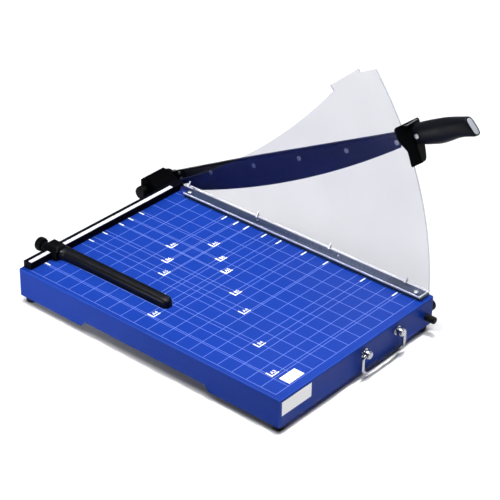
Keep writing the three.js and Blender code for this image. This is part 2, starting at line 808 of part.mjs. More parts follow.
function makeArmBar() {
  const outline = polygon([
    [0, barRootTop],
    [-barRootReach, barRootTop],
    [-barShoulderReach, barTop],
    [-barReach, barTop],
    [-barReach - barTop + tangCentreZ, tangCentreZ + tangHeight / 2],
    [-tangReach, tangCentreZ + tangHeight / 2],
    [-tangReach, tangCentreZ - tangHeight / 2],
    [-barReach - barTop + tangCentreZ, tangCentreZ - tangHeight / 2],
    [-bladeEnd, barBottom + tangHeight / 2],
    [-bladeEnd + 3 * tangHeight, barBottom],
    [0, barBottom],
  ]);
  const bar = alongX(outline, barInner, barOuter);
  const hub = rod(hubRadius, axisX, [0, 0, 0], hubInner, barOuter, 24);
  const bore = rod(shaftRadius + runningGap, axisX, [0, 0, 0], hubInner - cutOverrun, barOuter + cutOverrun, 20);
  const screwHoles = bladeScrewReach.map((reach) => rod(
    bladeScrewRadius + seatGap, axisX, [0, -reach, bladeScrewZ],
    barInner - cutOverrun, barOuter + cutOverrun, 14,
  ));
  const rootHoles = rootScrewZ.map((z) => rod(
    rootScrewRadius + seatGap, axisX, [0, -rootScrewReach, z], barInner - cutOverrun, barOuter + cutOverrun, 12,
  ));
  const rivetHole = rod(
    gripRivetRadius + seatGap, axisX, [0, -gripRivetReach, tangCentreZ],
    barInner - cutOverrun, barOuter + cutOverrun, 14,
  );
  return cut(join(bar, hub), bore, ...screwHoles, ...rootHoles, rivetHole);
}

place('arm_bar', makeArmBar(), finish.blackSteel, arm);

// Blade: flat on the cutting side, its curved edge bevelled on the outer side
function bladeEdge(reach) {
  const share = (reach - bladeBellyReach) / (bladeEnd - bladeBellyReach);
  return bladeBelly + (bladeTip - bladeBelly) * share ** 2;
}

function makeBlade() {
  const inner = bladeInner;
  const outer = bladeInner + bladeThickness;
  const rings = [];
  for (let station = 0; station <= bladeStations; station += 1) {
    const reach = bladeStart + (bladeEnd - bladeStart) * station / bladeStations;
    const edge = bladeEdge(reach);
    rings.push([
      new THREE.Vector3(inner, -reach, bladeTop),
      new THREE.Vector3(outer, -reach, bladeTop),
      new THREE.Vector3(outer, -reach, edge + bladeBevel),
      new THREE.Vector3(inner + bladeLand, -reach, edge),
      new THREE.Vector3(inner, -reach, edge),
    ]);
  }
  const rootCorner = new THREE.Shape();
  const low = bladeEdge(bladeStart);
  rootCorner.moveTo(-bladeStart + cutOverrun, low - bladeBevel);
  rootCorner.lineTo(-bladeStart + cutOverrun, low + bladeRootRound);
  rootCorner.lineTo(-bladeStart, low + bladeRootRound);
  rootCorner.absarc(-bladeStart - bladeRootRound, low + bladeRootRound, bladeRootRound, 0, -Math.PI / 2, true);
  rootCorner.lineTo(-bladeStart - bladeRootRound, low - bladeBevel);
  const corner = alongX(rootCorner, inner - cutOverrun, outer + cutOverrun, 8);
  const holes = bladeScrewReach.map((reach) => rod(
    bladeScrewRadius + seatGap, axisX, [0, -reach, bladeScrewZ], inner - cutOverrun, outer + cutOverrun, 16,
  ));
  const sinks = bladeScrewReach.map((reach) => turned([
    [0, inner - cutOverrun],
    [bladeScrewHeadRadius + seatGap, inner - cutOverrun],
    [bladeScrewHeadRadius + seatGap, inner],
    [bladeScrewRadius + seatGap, inner + bladeScrewHeadDepth],
    [0, inner + bladeScrewHeadDepth],
  ], axisX, [0, -reach, bladeScrewZ], 16));
  return cut(loft(rings), corner, ...holes, ...sinks);
}

place('blade', makeBlade(), finish.bladeSteel, arm);
bladeScrewReach.forEach((reach, index) => {
  const tip = barOuter + seatGap + nutHeight + seatGap;
  const screw = turned([
    [0, bladeInner],
    [bladeScrewHeadRadius, bladeInner],
    [bladeScrewRadius, bladeInner + bladeScrewHeadDepth],
    [bladeScrewRadius, tip],
    [0, tip],
  ], axisX, [0, -reach, bladeScrewZ], 12);
  const nut = hexNut(
    nutRadius, axisX, [0, -reach, bladeScrewZ], barOuter + seatGap, barOuter + seatGap + nutHeight,
  );
  place(`blade_screw_${index + 1}`, join(screw, nut), finish.brightSteel, arm);
});
rootScrewZ.forEach((z, index) => {
  const face = barInner - seatGap;
  place(`root_screw_${index + 1}`, turned([
    [0, face - rootScrewHeadHeight],
    [rootScrewHeadRadius, face - rootScrewHeadHeight],
    [rootScrewHeadRadius, face],
    [rootScrewRadius, face],
    [rootScrewRadius, barOuter],
    [0, barOuter],
  ], axisX, [0, -rootScrewReach, z], 14), finish.brightSteel, arm);
});

// Hand guard: a shield across the arm in front of the fingers, with a roof over the thumb
function makeHandGuard() {
  const corner = hiltCornerRadius;
  const shape = new THREE.Shape();
  shape.moveTo(hiltTopLeftX + corner, hiltTopLeftZ);
  shape.quadraticCurveTo(hiltTopLeftX, hiltTopLeftZ, hiltTopLeftX, hiltTopLeftZ - corner);
  shape.quadraticCurveTo(hiltWaistLeftX, 0, hiltWaistLeftX, hiltWaistZ);
  shape.quadraticCurveTo(hiltWaistLeftX, hiltWaistZ - corner, hiltFootLeftX, hiltFootZ + corner);
  shape.quadraticCurveTo(hiltFootLeftX, hiltFootZ, hiltFootLeftX + corner, hiltFootZ);
  shape.lineTo(hiltFootRightX - corner, hiltFootZ);
  shape.quadraticCurveTo(hiltFootRightX, hiltFootZ, hiltFootRightX + corner / 2, hiltFootZ + corner);
  shape.quadraticCurveTo(hiltWaistRightX, hiltWaistZ, hiltTopRightX, hiltTopRightZ - corner);
  shape.quadraticCurveTo(hiltTopRightX, hiltTopRightZ, hiltTopRightX - corner, hiltTopRightZ);
  const shield = alongY(shape, -hiltInner - hiltThickness, -hiltInner, 6);
  const roofTop = hiltTopRightZ;
  const roofBack = -hiltInner - hiltThickness;
  const roof = alongX(polygon([
    [roofBack + cutOverrun, roofTop],
    [roofBack - hiltRoof, roofTop - hiltRoofThickness / 2],
    [roofBack - hiltRoof, roofTop - hiltRoofThickness],
    [roofBack + cutOverrun, roofTop - hiltRoofThickness],
  ]), hiltRoofLeftX, hiltRoofRightX);
  const slot = block(
    barInner - seatGap, barOuter + seatGap,
    -hiltInner - hiltThickness - cutOverrun, -hiltInner + cutOverrun,
    tangCentreZ - tangHeight / 2 - seatGap, tangCentreZ + tangHeight / 2 + seatGap,
  );
  return cut(join(shield, roof), slot);
}

place('hand_guard', makeHandGuard(), finish.blackPlastic, arm);

// Grip: an oval handle swelling towards the fingers, slotted for the tang
function gripRing(share, centreShare, heightShare, widthShare, inset = 0) {
  const points = [];
  for (let side = 0; side < gripSides; side += 1) {
    const angle = 2 * Math.PI * side / gripSides;
    const across = (gripHalfWidth * widthShare - inset) * Math.cos(angle);
    const up = (gripHalfHeight * heightShare - inset) * Math.sin(angle);
    const slant = share > 0.5 ? gripEndSlant * (share - 0.5) * 2 * up / gripHalfHeight : 0;
    points.push(new THREE.Vector3(
      gripCentreX + across,
      -gripStart - (gripEnd - gripStart) * share + slant,
      tangCentreZ * centreShare + up,
    ));
  }
  return points;
}

const gripRings = gripStationShares.map((share, index) => gripRing(
  share, gripCentreShares[index], gripHalfHeightShares[index], gripHalfWidthShares[index],
));
const lastStation = gripStationShares.length - 1;
const capRing = gripRing(
  gripStationShares[lastStation], gripCentreShares[lastStation],
  gripHalfHeightShares[lastStation], gripHalfWidthShares[lastStation], capInset,
);

function shiftedAlongArm(ring, distance) {
  return ring.map((point) => new THREE.Vector3(point.x, point.y - distance, point.z));
}

function makeGrip() {
  const slot = block(
    barInner - seatGap, barOuter + seatGap,
    -tangReach - seatGap, -gripStart + cutOverrun,
    tangCentreZ - tangHeight / 2 - seatGap, tangCentreZ + tangHeight / 2 + seatGap,
  );
  const rivetHole = rod(
    gripRivetRadius + seatGap, axisX, [0, -gripRivetReach, tangCentreZ],
    gripCentreX - gripHalfWidth - cutOverrun, gripCentreX + gripHalfWidth + cutOverrun, 16,
  );
  return cut(loft(gripRings), slot, rivetHole);
}

place('grip', makeGrip(), finish.gripPlastic, arm);
place('grip_end_cap', loft([
  shiftedAlongArm(capRing, seatGap),
  shiftedAlongArm(capRing, capThickness),
]), finish.greyPlastic, arm);

function makeGripRivet() {
  const half = gripHalfWidth * gripHalfWidthShares[1];
  const shank = rod(
    gripRivetRadius, axisX, [gripCentreX, -gripRivetReach, tangCentreZ], -half, half, 16,
  );
  const head = (side) => rod(
    gripRivetHeadRadius, axisX, [gripCentreX, -gripRivetReach, tangCentreZ],
    side > 0 ? half + seatGap : -half - seatGap - gripRivetHeadHeight,
    side > 0 ? half + seatGap + gripRivetHeadHeight : -half - seatGap, 16,
  );
  const neck = rod(
    gripRivetRadius, axisX, [gripCentreX, -gripRivetReach, tangCentreZ],
    -half - 2 * seatGap, half + 2 * seatGap, 16,
  );
  return join(shank, neck, head(1), head(-1));
}

place('grip_rivet', makeGripRivet(), finish.brightSteel, arm);

// Press bar: the flat clamp that the clear guard stands on
const pressLeft = flangeLeft + pressSideInset;
const guardScrewY = Array.from({ length: guardScrewCount }, (unused, index) => (
  guardFlangeBack + (guardFront - guardFlangeBack) * (index + 1) / (guardScrewCount + 1)
));

function makePressBar() {
  const body = block(pressLeft, pressRightX, pressFront, guardFlangeBack - guardRearRadius, pressGap, pressTop);
  const postHoles = postY.map((y) => (
    rod(postRadius + seatGap, axisZ, [postX, y, 0], pressGap - cutOverrun, pressTop + cutOverrun, 14)
  ));
  const screwHoles = guardScrewY.map((y) => turned([
    [0, pressGap - cutOverrun],
    [guardScrewHeadRadius + seatGap, pressGap - cutOverrun],
    [guardScrewHeadRadius + seatGap, pressGap + guardScrewHeadHeight],
    [guardScrewRadius + seatGap, pressGap + guardScrewHeadHeight],
    [guardScrewRadius + seatGap, pressTop + cutOverrun],
    [0, pressTop + cutOverrun],
  ], axisZ, [guardScrewX, y, 0], 14));
  return cut(body, ...postHoles, ...screwHoles);
}

place('press_bar', makePressBar(), finish.blackSteel);

// Guard: a fan-shaped clear plate about the pivot, with a foot flange and moulded gussets
function aboutPivot(reach, angle) {
  return [pivotY - reach * Math.cos(angle), pivotZ + reach * Math.sin(angle)];
}

function makeGuard() {
  const tip = aboutPivot(guardRimRadius, guardTipAngle);
  const tabOuter = aboutPivot(guardTabOuterReach, guardTabAngle);
  const tabStep = aboutPivot(guardTabOuterReach, (guardTabAngle + guardTipAngle) / 2);
  const tabInner = aboutPivot(guardTabInnerReach, guardTabAngle);
  const notchPeak = aboutPivot(guardNotchReach, guardTabAngle);
  const notch = aboutPivot(guardNotchReach, guardNotchAngle);
  const rimStart = Math.asin((pressTop - pivotZ) / guardRimRadius);
  const plate = new THREE.Shape();
  plate.moveTo(guardPlateBack, pressTop);
  plate.lineTo(guardPlateBack, guardSweepEndZ);
  plate.quadraticCurveTo(guardSweepControlY, guardSweepControlZ, notch[0], notch[1]);
  plate.lineTo(notchPeak[0], notchPeak[1]);
  plate.lineTo(tabInner[0], tabInner[1]);
  plate.lineTo(tabOuter[0], tabOuter[1]);
  plate.lineTo(tabStep[0], tabStep[1]);
  plate.lineTo(tip[0], tip[1]);
  plate.absarc(pivotY, pivotZ, guardRimRadius, Math.PI - guardTipAngle, Math.PI - rimStart, false);
  const flange = new THREE.Shape();
  flange.moveTo(guardOuterX, guardFlangeBack);
  flange.lineTo(flangeLeft + guardRearRadius, guardFlangeBack);
  flange.absarc(
    flangeLeft + guardRearRadius, guardFlangeBack - guardRearRadius, guardRearRadius,
    Math.PI / 2, Math.PI, false,
  );
  flange.lineTo(flangeLeft, guardFront);
  flange.lineTo(guardOuterX, guardFront);
  const gussets = Array.from({ length: gussetCount }, (unused, index) => {
    const y = gussetBack - index * gussetPitch;
    return alongY(polygon([
      [guardInnerX - gussetWidth, flangeTop - seatGap],
      [guardInnerX + seatGap, flangeTop - seatGap],
      [guardInnerX + seatGap, flangeTop + gussetHeight],
    ]), y - gussetThickness, y);
  });
  const postHoles = postY.map((y) => (
    rod(postRadius + seatGap, axisZ, [postX, y, 0], pressTop - cutOverrun, flangeTop + cutOverrun, 14)
  ));
  const screwHoles = guardScrewY.map((y) => (
    rod(guardScrewRadius + seatGap, axisZ, [guardScrewX, y, 0], pressTop - cutOverrun, flangeTop + cutOverrun, 12)
  ));
  return cut(
    join(
      alongX(plate, guardInnerX, guardOuterX, 40),
      alongZ(flange, pressTop, flangeTop, 8),
      ...gussets,
    ),
    ...postHoles, ...screwHoles,
  );
}

place('guard', makeGuard(), finish.clearPlate);
guardScrewY.forEach((y, index) => {
  const headTop = pressGap + guardScrewHeadHeight - seatGap;
  place(`guard_screw_${index + 1}`, turned([
    [0, pressGap],
    [guardScrewHeadRadius, pressGap],
    [guardScrewHeadRadius, headTop],
    [guardScrewRadius, headTop],
    [guardScrewRadius, flangeTop],
    [0, flangeTop],
  ], axisZ, [guardScrewX, y, 0], 14), finish.brightSteel);
});

// Guide posts: a button head on the flange, a collar under the board and a tail inside the spring
const collarTop = boardUnder - runningGap;
const collarBottom = collarTop - postCollarHeight;
const tailEnd = collarBottom - postTailReach;
const cupFloor = boardUnder - cupDepth + cupWall;

function makeGuidePost(y) {
  return turned([
    [0, tailEnd],
    [postRadius, tailEnd],
    [postRadius, collarBottom],
    [postCollarRadius, collarBottom],
    [postCollarRadius, collarTop],
    [postRadius, collarTop],
    [postRadius, flangeTop],
    [postHeadRadius, flangeTop],
    [postHeadRadius, flangeTop + postHeadHeight / 2],
    [postHeadRadius * buttonShare, flangeTop + postHeadHeight],
    [0, flangeTop + postHeadHeight],
  ], axisZ, [postX, y, 0], 14);
}

function makeSpringCup(y) {
  const inner = cupOuterRadius - cupWall;
  return turned([
    [0, boardUnder - cupDepth],
    [cupOuterRadius, boardUnder - cupDepth],
    [cupOuterRadius, boardUnder],
    [inner, boardUnder],
    [inner, cupFloor],
    [0, cupFloor],
  ], axisZ, [postX, y, 0], 16);
}

// Helix that runs level for its first and last stretch, as a ground spring end does
class SpringCurve extends THREE.Curve {
  constructor(radius, bottom, top, turns) {
    super();
    this.radius = radius;
    this.bottom = bottom;
    this.top = top;
    this.turns = turns;
  }

  getPoint(share, target = new THREE.Vector3()) {
    const angle = 2 * Math.PI * this.turns * share;
    return target.set(
      this.radius * Math.cos(angle),
      this.radius * Math.sin(angle),
      this.bottom + (this.top - this.bottom) * share,
    );
  }
}

function makeSpring(y) {
  const radius = (postRadius + postCollarRadius) / 2 + springWire / 2;
  const bottom = cupFloor + springWire + seatGap;
  const top = collarBottom - springWire - seatGap;
  const curve = new SpringCurve(radius, bottom, top, springTurns);
  const section = polygon(Array.from({ length: springWireSides }, (unused, side) => {
    const angle = 2 * Math.PI * side / springWireSides;
    return [springWire * Math.cos(angle), springWire * Math.sin(angle)];
  }));
  const geometry = new THREE.ExtrudeGeometry(section, {
    steps: springTurns * springStepsPerTurn, bevelEnabled: false, extrudePath: curve,
  });
  geometry.translate(postX, y, 0);
  return solid(geometry);
}

const springPitch = (collarBottom - cupFloor - 2 * (springWire + seatGap)) / springTurns;
console.log(`least gap between spring turns ${(springPitch - 2 * springWire).toFixed(2)} mm`);

['front', 'rear'].forEach((end, index) => {
  const y = postY[index];
  place(`${end}_guide_post`, makeGuidePost(y), finish.blackSteel);
  place(`${end}_spring_cup`, makeSpringCup(y), finish.blueEnamel);
  place(`${end}_press_spring`, makeSpring(y), finish.brightSteel);
});

// Paper stop: a saddle over the ruler, a bar laid on the board and a clamp knob behind
const stopLeft = stopCentreX - stopWidth / 2;
const stopRight = stopCentreX + stopWidth / 2;
const stopBarMiddle = stopBarLeft + stopBarWidth / 2;
const tongueBottom = stopBarLift + (stopBarHeight - stopTongueHeight) / 2;
const heelFront = rulerDepth + runningGap;
const heelBack = heelFront + stopHeelDepth;
const spindleZ = rulerHeight / 2;

function makeStopBlock() {
  const profile = polygon([
    [-stopNoseDepth, stopBarLift],
    [-runningGap, stopBarLift],
    [-runningGap, rulerHeight + runningGap],
    [heelFront, rulerHeight + runningGap],
    [heelFront, stopBarLift],
    [heelBack, stopBarLift],
    [heelBack, stopTop - stopChamfer],
    [heelBack - stopChamfer, stopTop],
    [-stopNoseDepth + stopChamfer, stopTop],
    [-stopNoseDepth, stopTop - stopChamfer],
  ]);
  const pocket = block(
    stopBarLeft + stopTongueInset - seatGap, stopBarLeft + stopBarWidth - stopTongueInset + seatGap,
    -stopNoseDepth - cutOverrun, -stopNoseDepth + stopTongueDepth + seatGap,
    tongueBottom - seatGap, tongueBottom + stopTongueHeight + seatGap,
  );
  const bore = rod(
    spindleRadius + seatGap, axisY, [stopCentreX, 0, spindleZ], heelFront - cutOverrun, heelBack + cutOverrun, 18,
  );
  return cut(alongX(profile, stopLeft, stopRight), pocket, bore);
}

function makeStopBar() {
  const left = stopBarLeft;
  const right = stopBarLeft + stopBarWidth;
  const near = -stopNoseDepth - seatGap;
  const plan = new THREE.Shape();
  plan.moveTo(left, near);
  plan.lineTo(left, stopBarEnd + stopBarChamfer);
  plan.lineTo(left + stopBarChamfer, stopBarEnd);
  plan.lineTo(right - stopBarTipRadius, stopBarEnd);
  plan.absarc(right - stopBarTipRadius, stopBarEnd + stopBarTipRadius, stopBarTipRadius, -Math.PI / 2, 0, false);
  plan.lineTo(right, near);
  const body = alongZ(plan, stopBarLift, stopBarLift + stopBarHeight, 8);
  const top = stopBarLift + stopBarHeight;
  const bevels = [[left, 1], [right, -1]].map(([edge, inward]) => alongY(polygon([
    [edge - inward * cutOverrun, top + cutOverrun],
    [edge - inward * cutOverrun, top - stopBarChamfer - cutOverrun],
    [edge + inward * (stopBarChamfer + cutOverrun), top + cutOverrun],
  ]), stopBarEnd - cutOverrun, near + cutOverrun));
  const tongue = block(
    left + stopTongueInset, right - stopTongueInset, near - cutOverrun, -stopNoseDepth + stopTongueDepth,
    tongueBottom, tongueBottom + stopTongueHeight,
  );
  return join(cut(body, ...bevels), tongue);
}

function makeStopKnob() {
  const lobed = new THREE.Shape();
  const steps = knobLobes * 2;
  for (let step = 0; step < steps; step += 1) {
    const angle = 2 * Math.PI * step / steps;
    const radius = knobRadius - knobLobe + knobLobe * Math.cos(knobLobes * angle);
    const x = stopCentreX + radius * Math.cos(angle);
    const z = spindleZ + radius * Math.sin(angle);
    if (step === 0) lobed.moveTo(x, z);
    else lobed.lineTo(x, z);
  }
  const centre = [stopCentreX, 0, spindleZ];
  const front = knobBack - knobThickness;
  const rimTrim = turned([
    [0, front],
    [knobRadius - knobChamfer, front],
    [knobRadius, front + knobChamfer],
    [knobRadius, knobBack - knobChamfer],
    [knobRadius - knobChamfer, knobBack],
    [0, knobBack],
  ], axisY, centre, 36);
  const head = alongY(lobed, front, knobBack).intersect(rimTrim);
  const neck = rod(knobNeckRadius, axisY, centre, heelBack + runningGap, front + cutOverrun, 24);
  const spindle = rod(
    spindleRadius, axisY, centre, rulerDepth - rulerGrooveDepth + spindleTipGap, heelBack + cutOverrun, 18,
  );
  return join(head, neck, spindle);
}

place('stop_block', makeStopBlock(), finish.blackPlastic);
place('stop_bar', makeStopBar(), finish.blackCasting);
place('stop_knob', makeStopKnob(), finish.blackPlastic);

// Carry handle: a bail hinged in two posts on the front skirt
function makeBailPost(x) {
  const face = boardFront;
  const end = face - bailPostLength;
  const body = turned([
    [0, face],
    [bailPostFlangeRadius, face],
    [bailPostFlangeRadius, face - bailPostFlangeThickness],
    [bailPostRadius, face - bailPostFlangeThickness],
    [bailPostRadius, end + bailPostCapThickness],
    [bailPostCapRadius, end + bailPostCapThickness],
    [bailPostCapRadius, end + bailPostCapThickness / 3],
    [bailPostRadius, end],
    [0, end],
  ], axisY, [x, 0, bailPostZ], 16);
  const eye = rod(
    bailRadius + runningGap, axisX, [x, bailAxisY, bailPostZ],
    -bailPostCapRadius - cutOverrun, bailPostCapRadius + cutOverrun, 20,
  );
  return cut(body, eye);
}

['left', 'right'].forEach((side, index) => {
  place(`bail_post_${side}`, makeBailPost(bailPostX[index]), finish.chrome);
});

function bend(centre, radius, from, to, steps) {
  return Array.from({ length: steps + 1 }, (unused, step) => {
    const angle = from + (to - from) * step / steps;
    return [centre[0] + radius * Math.cos(angle), centre[1] + radius * Math.sin(angle)];
  });
}

function makeBail() {
  const half = [
    [bailPostSpacing / 2 - bailPinReach, 0],
    ...bend([bailHalfWidth - bailTopBend, -bailTopBend], bailTopBend, Math.PI / 2, 0, bailBendSteps),
    ...bend(
      [bailHalfWidth - bailBottomBend, -bailDrop + bailBottomBend], bailBottomBend, 0, -Math.PI / 2, bailBendSteps,
    ),
  ];
  const path = [...half, ...half.map(([x, z]) => [-x, z]).reverse()];
  const rings = path.map((point, index) => {
    const before = path[Math.max(index - 1, 0)];
    const after = path[Math.min(index + 1, path.length - 1)];
    const length = Math.hypot(after[0] - before[0], after[1] - before[1]);
    const across = [-(after[1] - before[1]) / length, (after[0] - before[0]) / length];
    return Array.from({ length: bailSides }, (unused, side) => {
      const angle = 2 * Math.PI * side / bailSides;
      const out = bailRadius * Math.cos(angle);
      return new THREE.Vector3(
        bailCentreX + point[0] + across[0] * out,
        bailAxisY + bailRadius * Math.sin(angle),
        bailPostZ + point[1] + across[1] * out,
      );
    });
  });
  return loft(rings);
}

place('carry_bail', makeBail(), finish.chrome);

// Buffers: one for the hand guard to land on, one on the blade side
function makeBuffer(radius, length, axis, centre) {
  return turned([
    [0, 0],
    [radius, 0],
    [radius, length - bufferRound],
    [radius - bufferRound * edgeShare, length - bufferRound * edgeShare],
    [radius - bufferRound, length],
    [0, length],
  ], axis, centre, 28);
}

place('front_buffer', makeBuffer(
  frontBufferRadius, frontBufferLength, new THREE.Vector3(0, -1, 0), [frontBufferX, boardFront, frontBufferZ],
), finish.rubber);
place('side_buffer', makeBuffer(
  sideBufferRadius, sideBufferReach - cornerRight, axisX, [cornerRight, sideBufferY, sideBufferZ],
), finish.rubber);

// Origin on the desk, under the middle of the whole cutter
cutter.updateMatrixWorld(true);
const bounds = new THREE.Box3().setFromObject(cutter, true);
const middle = bounds.getCenter(new THREE.Vector3());
cutter.position.set(-middle.x, -middle.y, -bounds.min.z);
console.log(`origin shift ${cutter.position.toArray().map((value) => value.toFixed(3)).join(' ')}`);

export default cutter;
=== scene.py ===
"""Looks of the guillotine paper cutter: finishes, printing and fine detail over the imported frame.

Sizes are in millimetres in the bench frame: the origin lies on the board top, where the cutting
line meets the ruler's inner face, with X to the blade side, Y to the back and Z up.
"""

from __future__ import annotations

import json
import logging
import math
from dataclasses import dataclass, field
from enum import Enum
from typing import Callable, Iterable, Sequence

import bmesh
import bpy
from mathutils import Matrix, Vector

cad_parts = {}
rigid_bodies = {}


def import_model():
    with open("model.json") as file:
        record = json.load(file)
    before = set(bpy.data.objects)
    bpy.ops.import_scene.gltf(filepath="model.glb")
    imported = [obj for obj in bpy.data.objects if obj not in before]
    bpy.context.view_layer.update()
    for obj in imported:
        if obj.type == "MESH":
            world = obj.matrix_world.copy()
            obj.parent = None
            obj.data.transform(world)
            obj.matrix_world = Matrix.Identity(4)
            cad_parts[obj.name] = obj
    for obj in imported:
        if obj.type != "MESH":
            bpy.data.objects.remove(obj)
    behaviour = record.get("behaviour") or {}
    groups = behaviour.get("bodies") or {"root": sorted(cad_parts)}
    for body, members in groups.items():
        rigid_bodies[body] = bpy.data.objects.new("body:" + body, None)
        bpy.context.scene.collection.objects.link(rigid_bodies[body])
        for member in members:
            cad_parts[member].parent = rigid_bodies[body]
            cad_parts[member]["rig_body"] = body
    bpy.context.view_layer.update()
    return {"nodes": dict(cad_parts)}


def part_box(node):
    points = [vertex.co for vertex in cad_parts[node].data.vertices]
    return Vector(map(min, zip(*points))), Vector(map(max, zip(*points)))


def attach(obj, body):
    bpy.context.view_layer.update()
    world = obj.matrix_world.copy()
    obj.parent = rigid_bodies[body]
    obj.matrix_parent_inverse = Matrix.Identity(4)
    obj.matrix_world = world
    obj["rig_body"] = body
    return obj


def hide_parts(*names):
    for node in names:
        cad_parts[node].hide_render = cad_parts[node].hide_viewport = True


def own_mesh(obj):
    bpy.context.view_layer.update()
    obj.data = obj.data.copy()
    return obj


LOG = logging.getLogger("paper_cutter")
MM = 0.001

# The face attribute that is 1 on edges and 0 elsewhere
EDGE_MARK = "edge"
# How strongly large faces pull the shading of the rounded edges beside them flat, out of 100
FACE_WEIGHT = 60
# The record's material slot for print and plates
PRINT_SLOT = "white_strip"

Pair = tuple[float, float]
Point = tuple[float, float, float]
Ring = list[bmesh.types.BMVert]


class Axis(Enum):
    """The direction that a turned piece's axis takes."""

    X = (1.0, 0.0, 0.0)
    Y = (0.0, 1.0, 0.0)


# Shading helpers


def linear(colour: str) -> tuple[float, float, float, float]:
    """Turn an sRGB hex colour into linear red, green, blue and alpha.

    Args:
        colour: six hex digits after a hash sign.

    Returns:
        The linear colour, fully opaque.
    """
    parts = [int(colour[i : i + 2], 16) / 255 for i in (1, 3, 5)]
    red, green, blue = (p / 12.92 if p <= 0.04045 else ((p + 0.055) / 1.055) ** 2.4 for p in parts)
    return red, green, blue, 1.0


def add_node(
    tree: bpy.types.NodeTree, kind: str, inputs: dict | None = None, **settings
) -> bpy.types.Node:
    """Add a node to a shader or geometry tree, set it up and feed its inputs.

    Args:
        tree: the tree that gets the node.
        kind: the node's type name.
        inputs: what each input takes, by name or number: a socket to link or a plain value.
        **settings: properties of the node itself.

    Returns:
        The new node.
    """
    node = tree.nodes.new(kind)
    for name, value in settings.items():
        setattr(node, name, value)
    for key, value in (inputs or {}).items():
        if isinstance(value, bpy.types.NodeSocket):
            tree.links.new(value, node.inputs[key])
        else:
            node.inputs[key].default_value = value
    return node


@dataclass(frozen=True)
class Finish:
    """A surface finish: a name, a base colour and what its shader adds to them."""

    name: str
    colour: str
    roughness: float = 0.4
    specular: float = 0.5

    def material(self) -> bpy.types.Material:
        """Build this finish's material, or find it if it is already built."""
        known = bpy.data.materials.get(self.name)
        if known:
            return known
        made = bpy.data.materials.new(self.name)
        made.use_nodes = True
        made.diffuse_color = linear(self.colour)
        shader = made.node_tree.nodes["Principled BSDF"]
        shader.inputs["Base Color"].default_value = linear(self.colour)
        shader.inputs["Roughness"].default_value = self.roughness
        shader.inputs["Specular IOR Level"].default_value = self.specular
        self.shade(made.node_tree, shader)
        return made

    def shade(self, tree: bpy.types.NodeTree, shader: bpy.types.Node) -> None:
        """Add this finish's own nodes to its material."""

    @staticmethod
    def noise(
        tree: bpy.types.NodeTree, size: float, detail: float = 2.0, stretch: Point = (1.0, 1.0, 1.0)
    ) -> bpy.types.NodeSocket:
        """Add noise on the object's own coordinates.

        Args:
            tree: the material's tree.
            size: the blotch size in millimetres.
            detail: how many finer layers the noise has.
            stretch: how much longer than size the blotches are along X, Y and Z.

        Returns:
            The noise value, about 0.5 on average.
        """
        where = add_node(tree, "ShaderNodeTexCoord")
        scale = tuple(1 / (size * MM * s) for s in stretch)
        scaled = add_node(
            tree, "ShaderNodeMapping", {"Vector": where.outputs["Object"], "Scale": scale}
        )
        made = add_node(
            tree,
            "ShaderNodeTexNoise",
            {"Vector": scaled.outputs["Vector"], "Scale": 1.0, "Detail": detail},
        )
        return made.outputs[0]

    @staticmethod
    def spread(
        tree: bpy.types.NodeTree, value: bpy.types.NodeSocket, low: float, high: float
    ) -> bpy.types.NodeSocket:
        """Map noise from its usual 0.3 to 0.7 onto a wanted range.

        Args:
            tree: the material's tree.
            value: the noise value.
            low: the result where the noise is low.
            high: the result where the noise is high.

        Returns:
            The mapped value.
        """
        mapped = add_node(
            tree,
            "ShaderNodeMapRange",
            {"Value": value, "From Min": 0.3, "From Max": 0.7, "To Min": low, "To Max": high},
        )
        return mapped.outputs["Result"]

    @staticmethod
    def blend(
        tree: bpy.types.NodeTree,
        factor: bpy.types.NodeSocket,
        first: str | bpy.types.NodeSocket,
        second: str,
    ) -> bpy.types.NodeSocket:
        """Mix two colours.

        Args:
            tree: the material's tree.
            factor: 0 for the first colour and 1 for the second.
            first: a hex colour or a colour socket.
            second: a hex colour.

        Returns:
            The mixed colour.
        """
        start = first if isinstance(first, bpy.types.NodeSocket) else linear(first)
        # A colour Mix node takes its colours at inputs 6 and 7 and gives the result at output 2.
        mixed = add_node(
            tree, "ShaderNodeMix", {0: factor, 6: start, 7: linear(second)}, data_type="RGBA"
        )
        return mixed.outputs[2]

    @staticmethod
    def relief(
        tree: bpy.types.NodeTree,
        shader: bpy.types.Node,
        height: bpy.types.NodeSocket,
        depth: float,
    ) -> None:
        """Feed a bump of the given depth in millimetres to the shader."""
        bump = add_node(
            tree, "ShaderNodeBump", {"Height": height, "Distance": depth * MM, "Strength": 1.0}
        )
        tree.links.new(bump.outputs["Normal"], shader.inputs["Normal"])

    @staticmethod
    def edges(tree: bpy.types.NodeTree, share: float = 1.0) -> bpy.types.NodeSocket:
        """Read which faces are marked as edges, times a share."""
        mark = add_node(tree, "ShaderNodeAttribute", attribute_name=EDGE_MARK).outputs["Fac"]
        return add_node(tree, "ShaderNodeMath", {0: mark, 1: share}, operation="MULTIPLY").outputs[0]


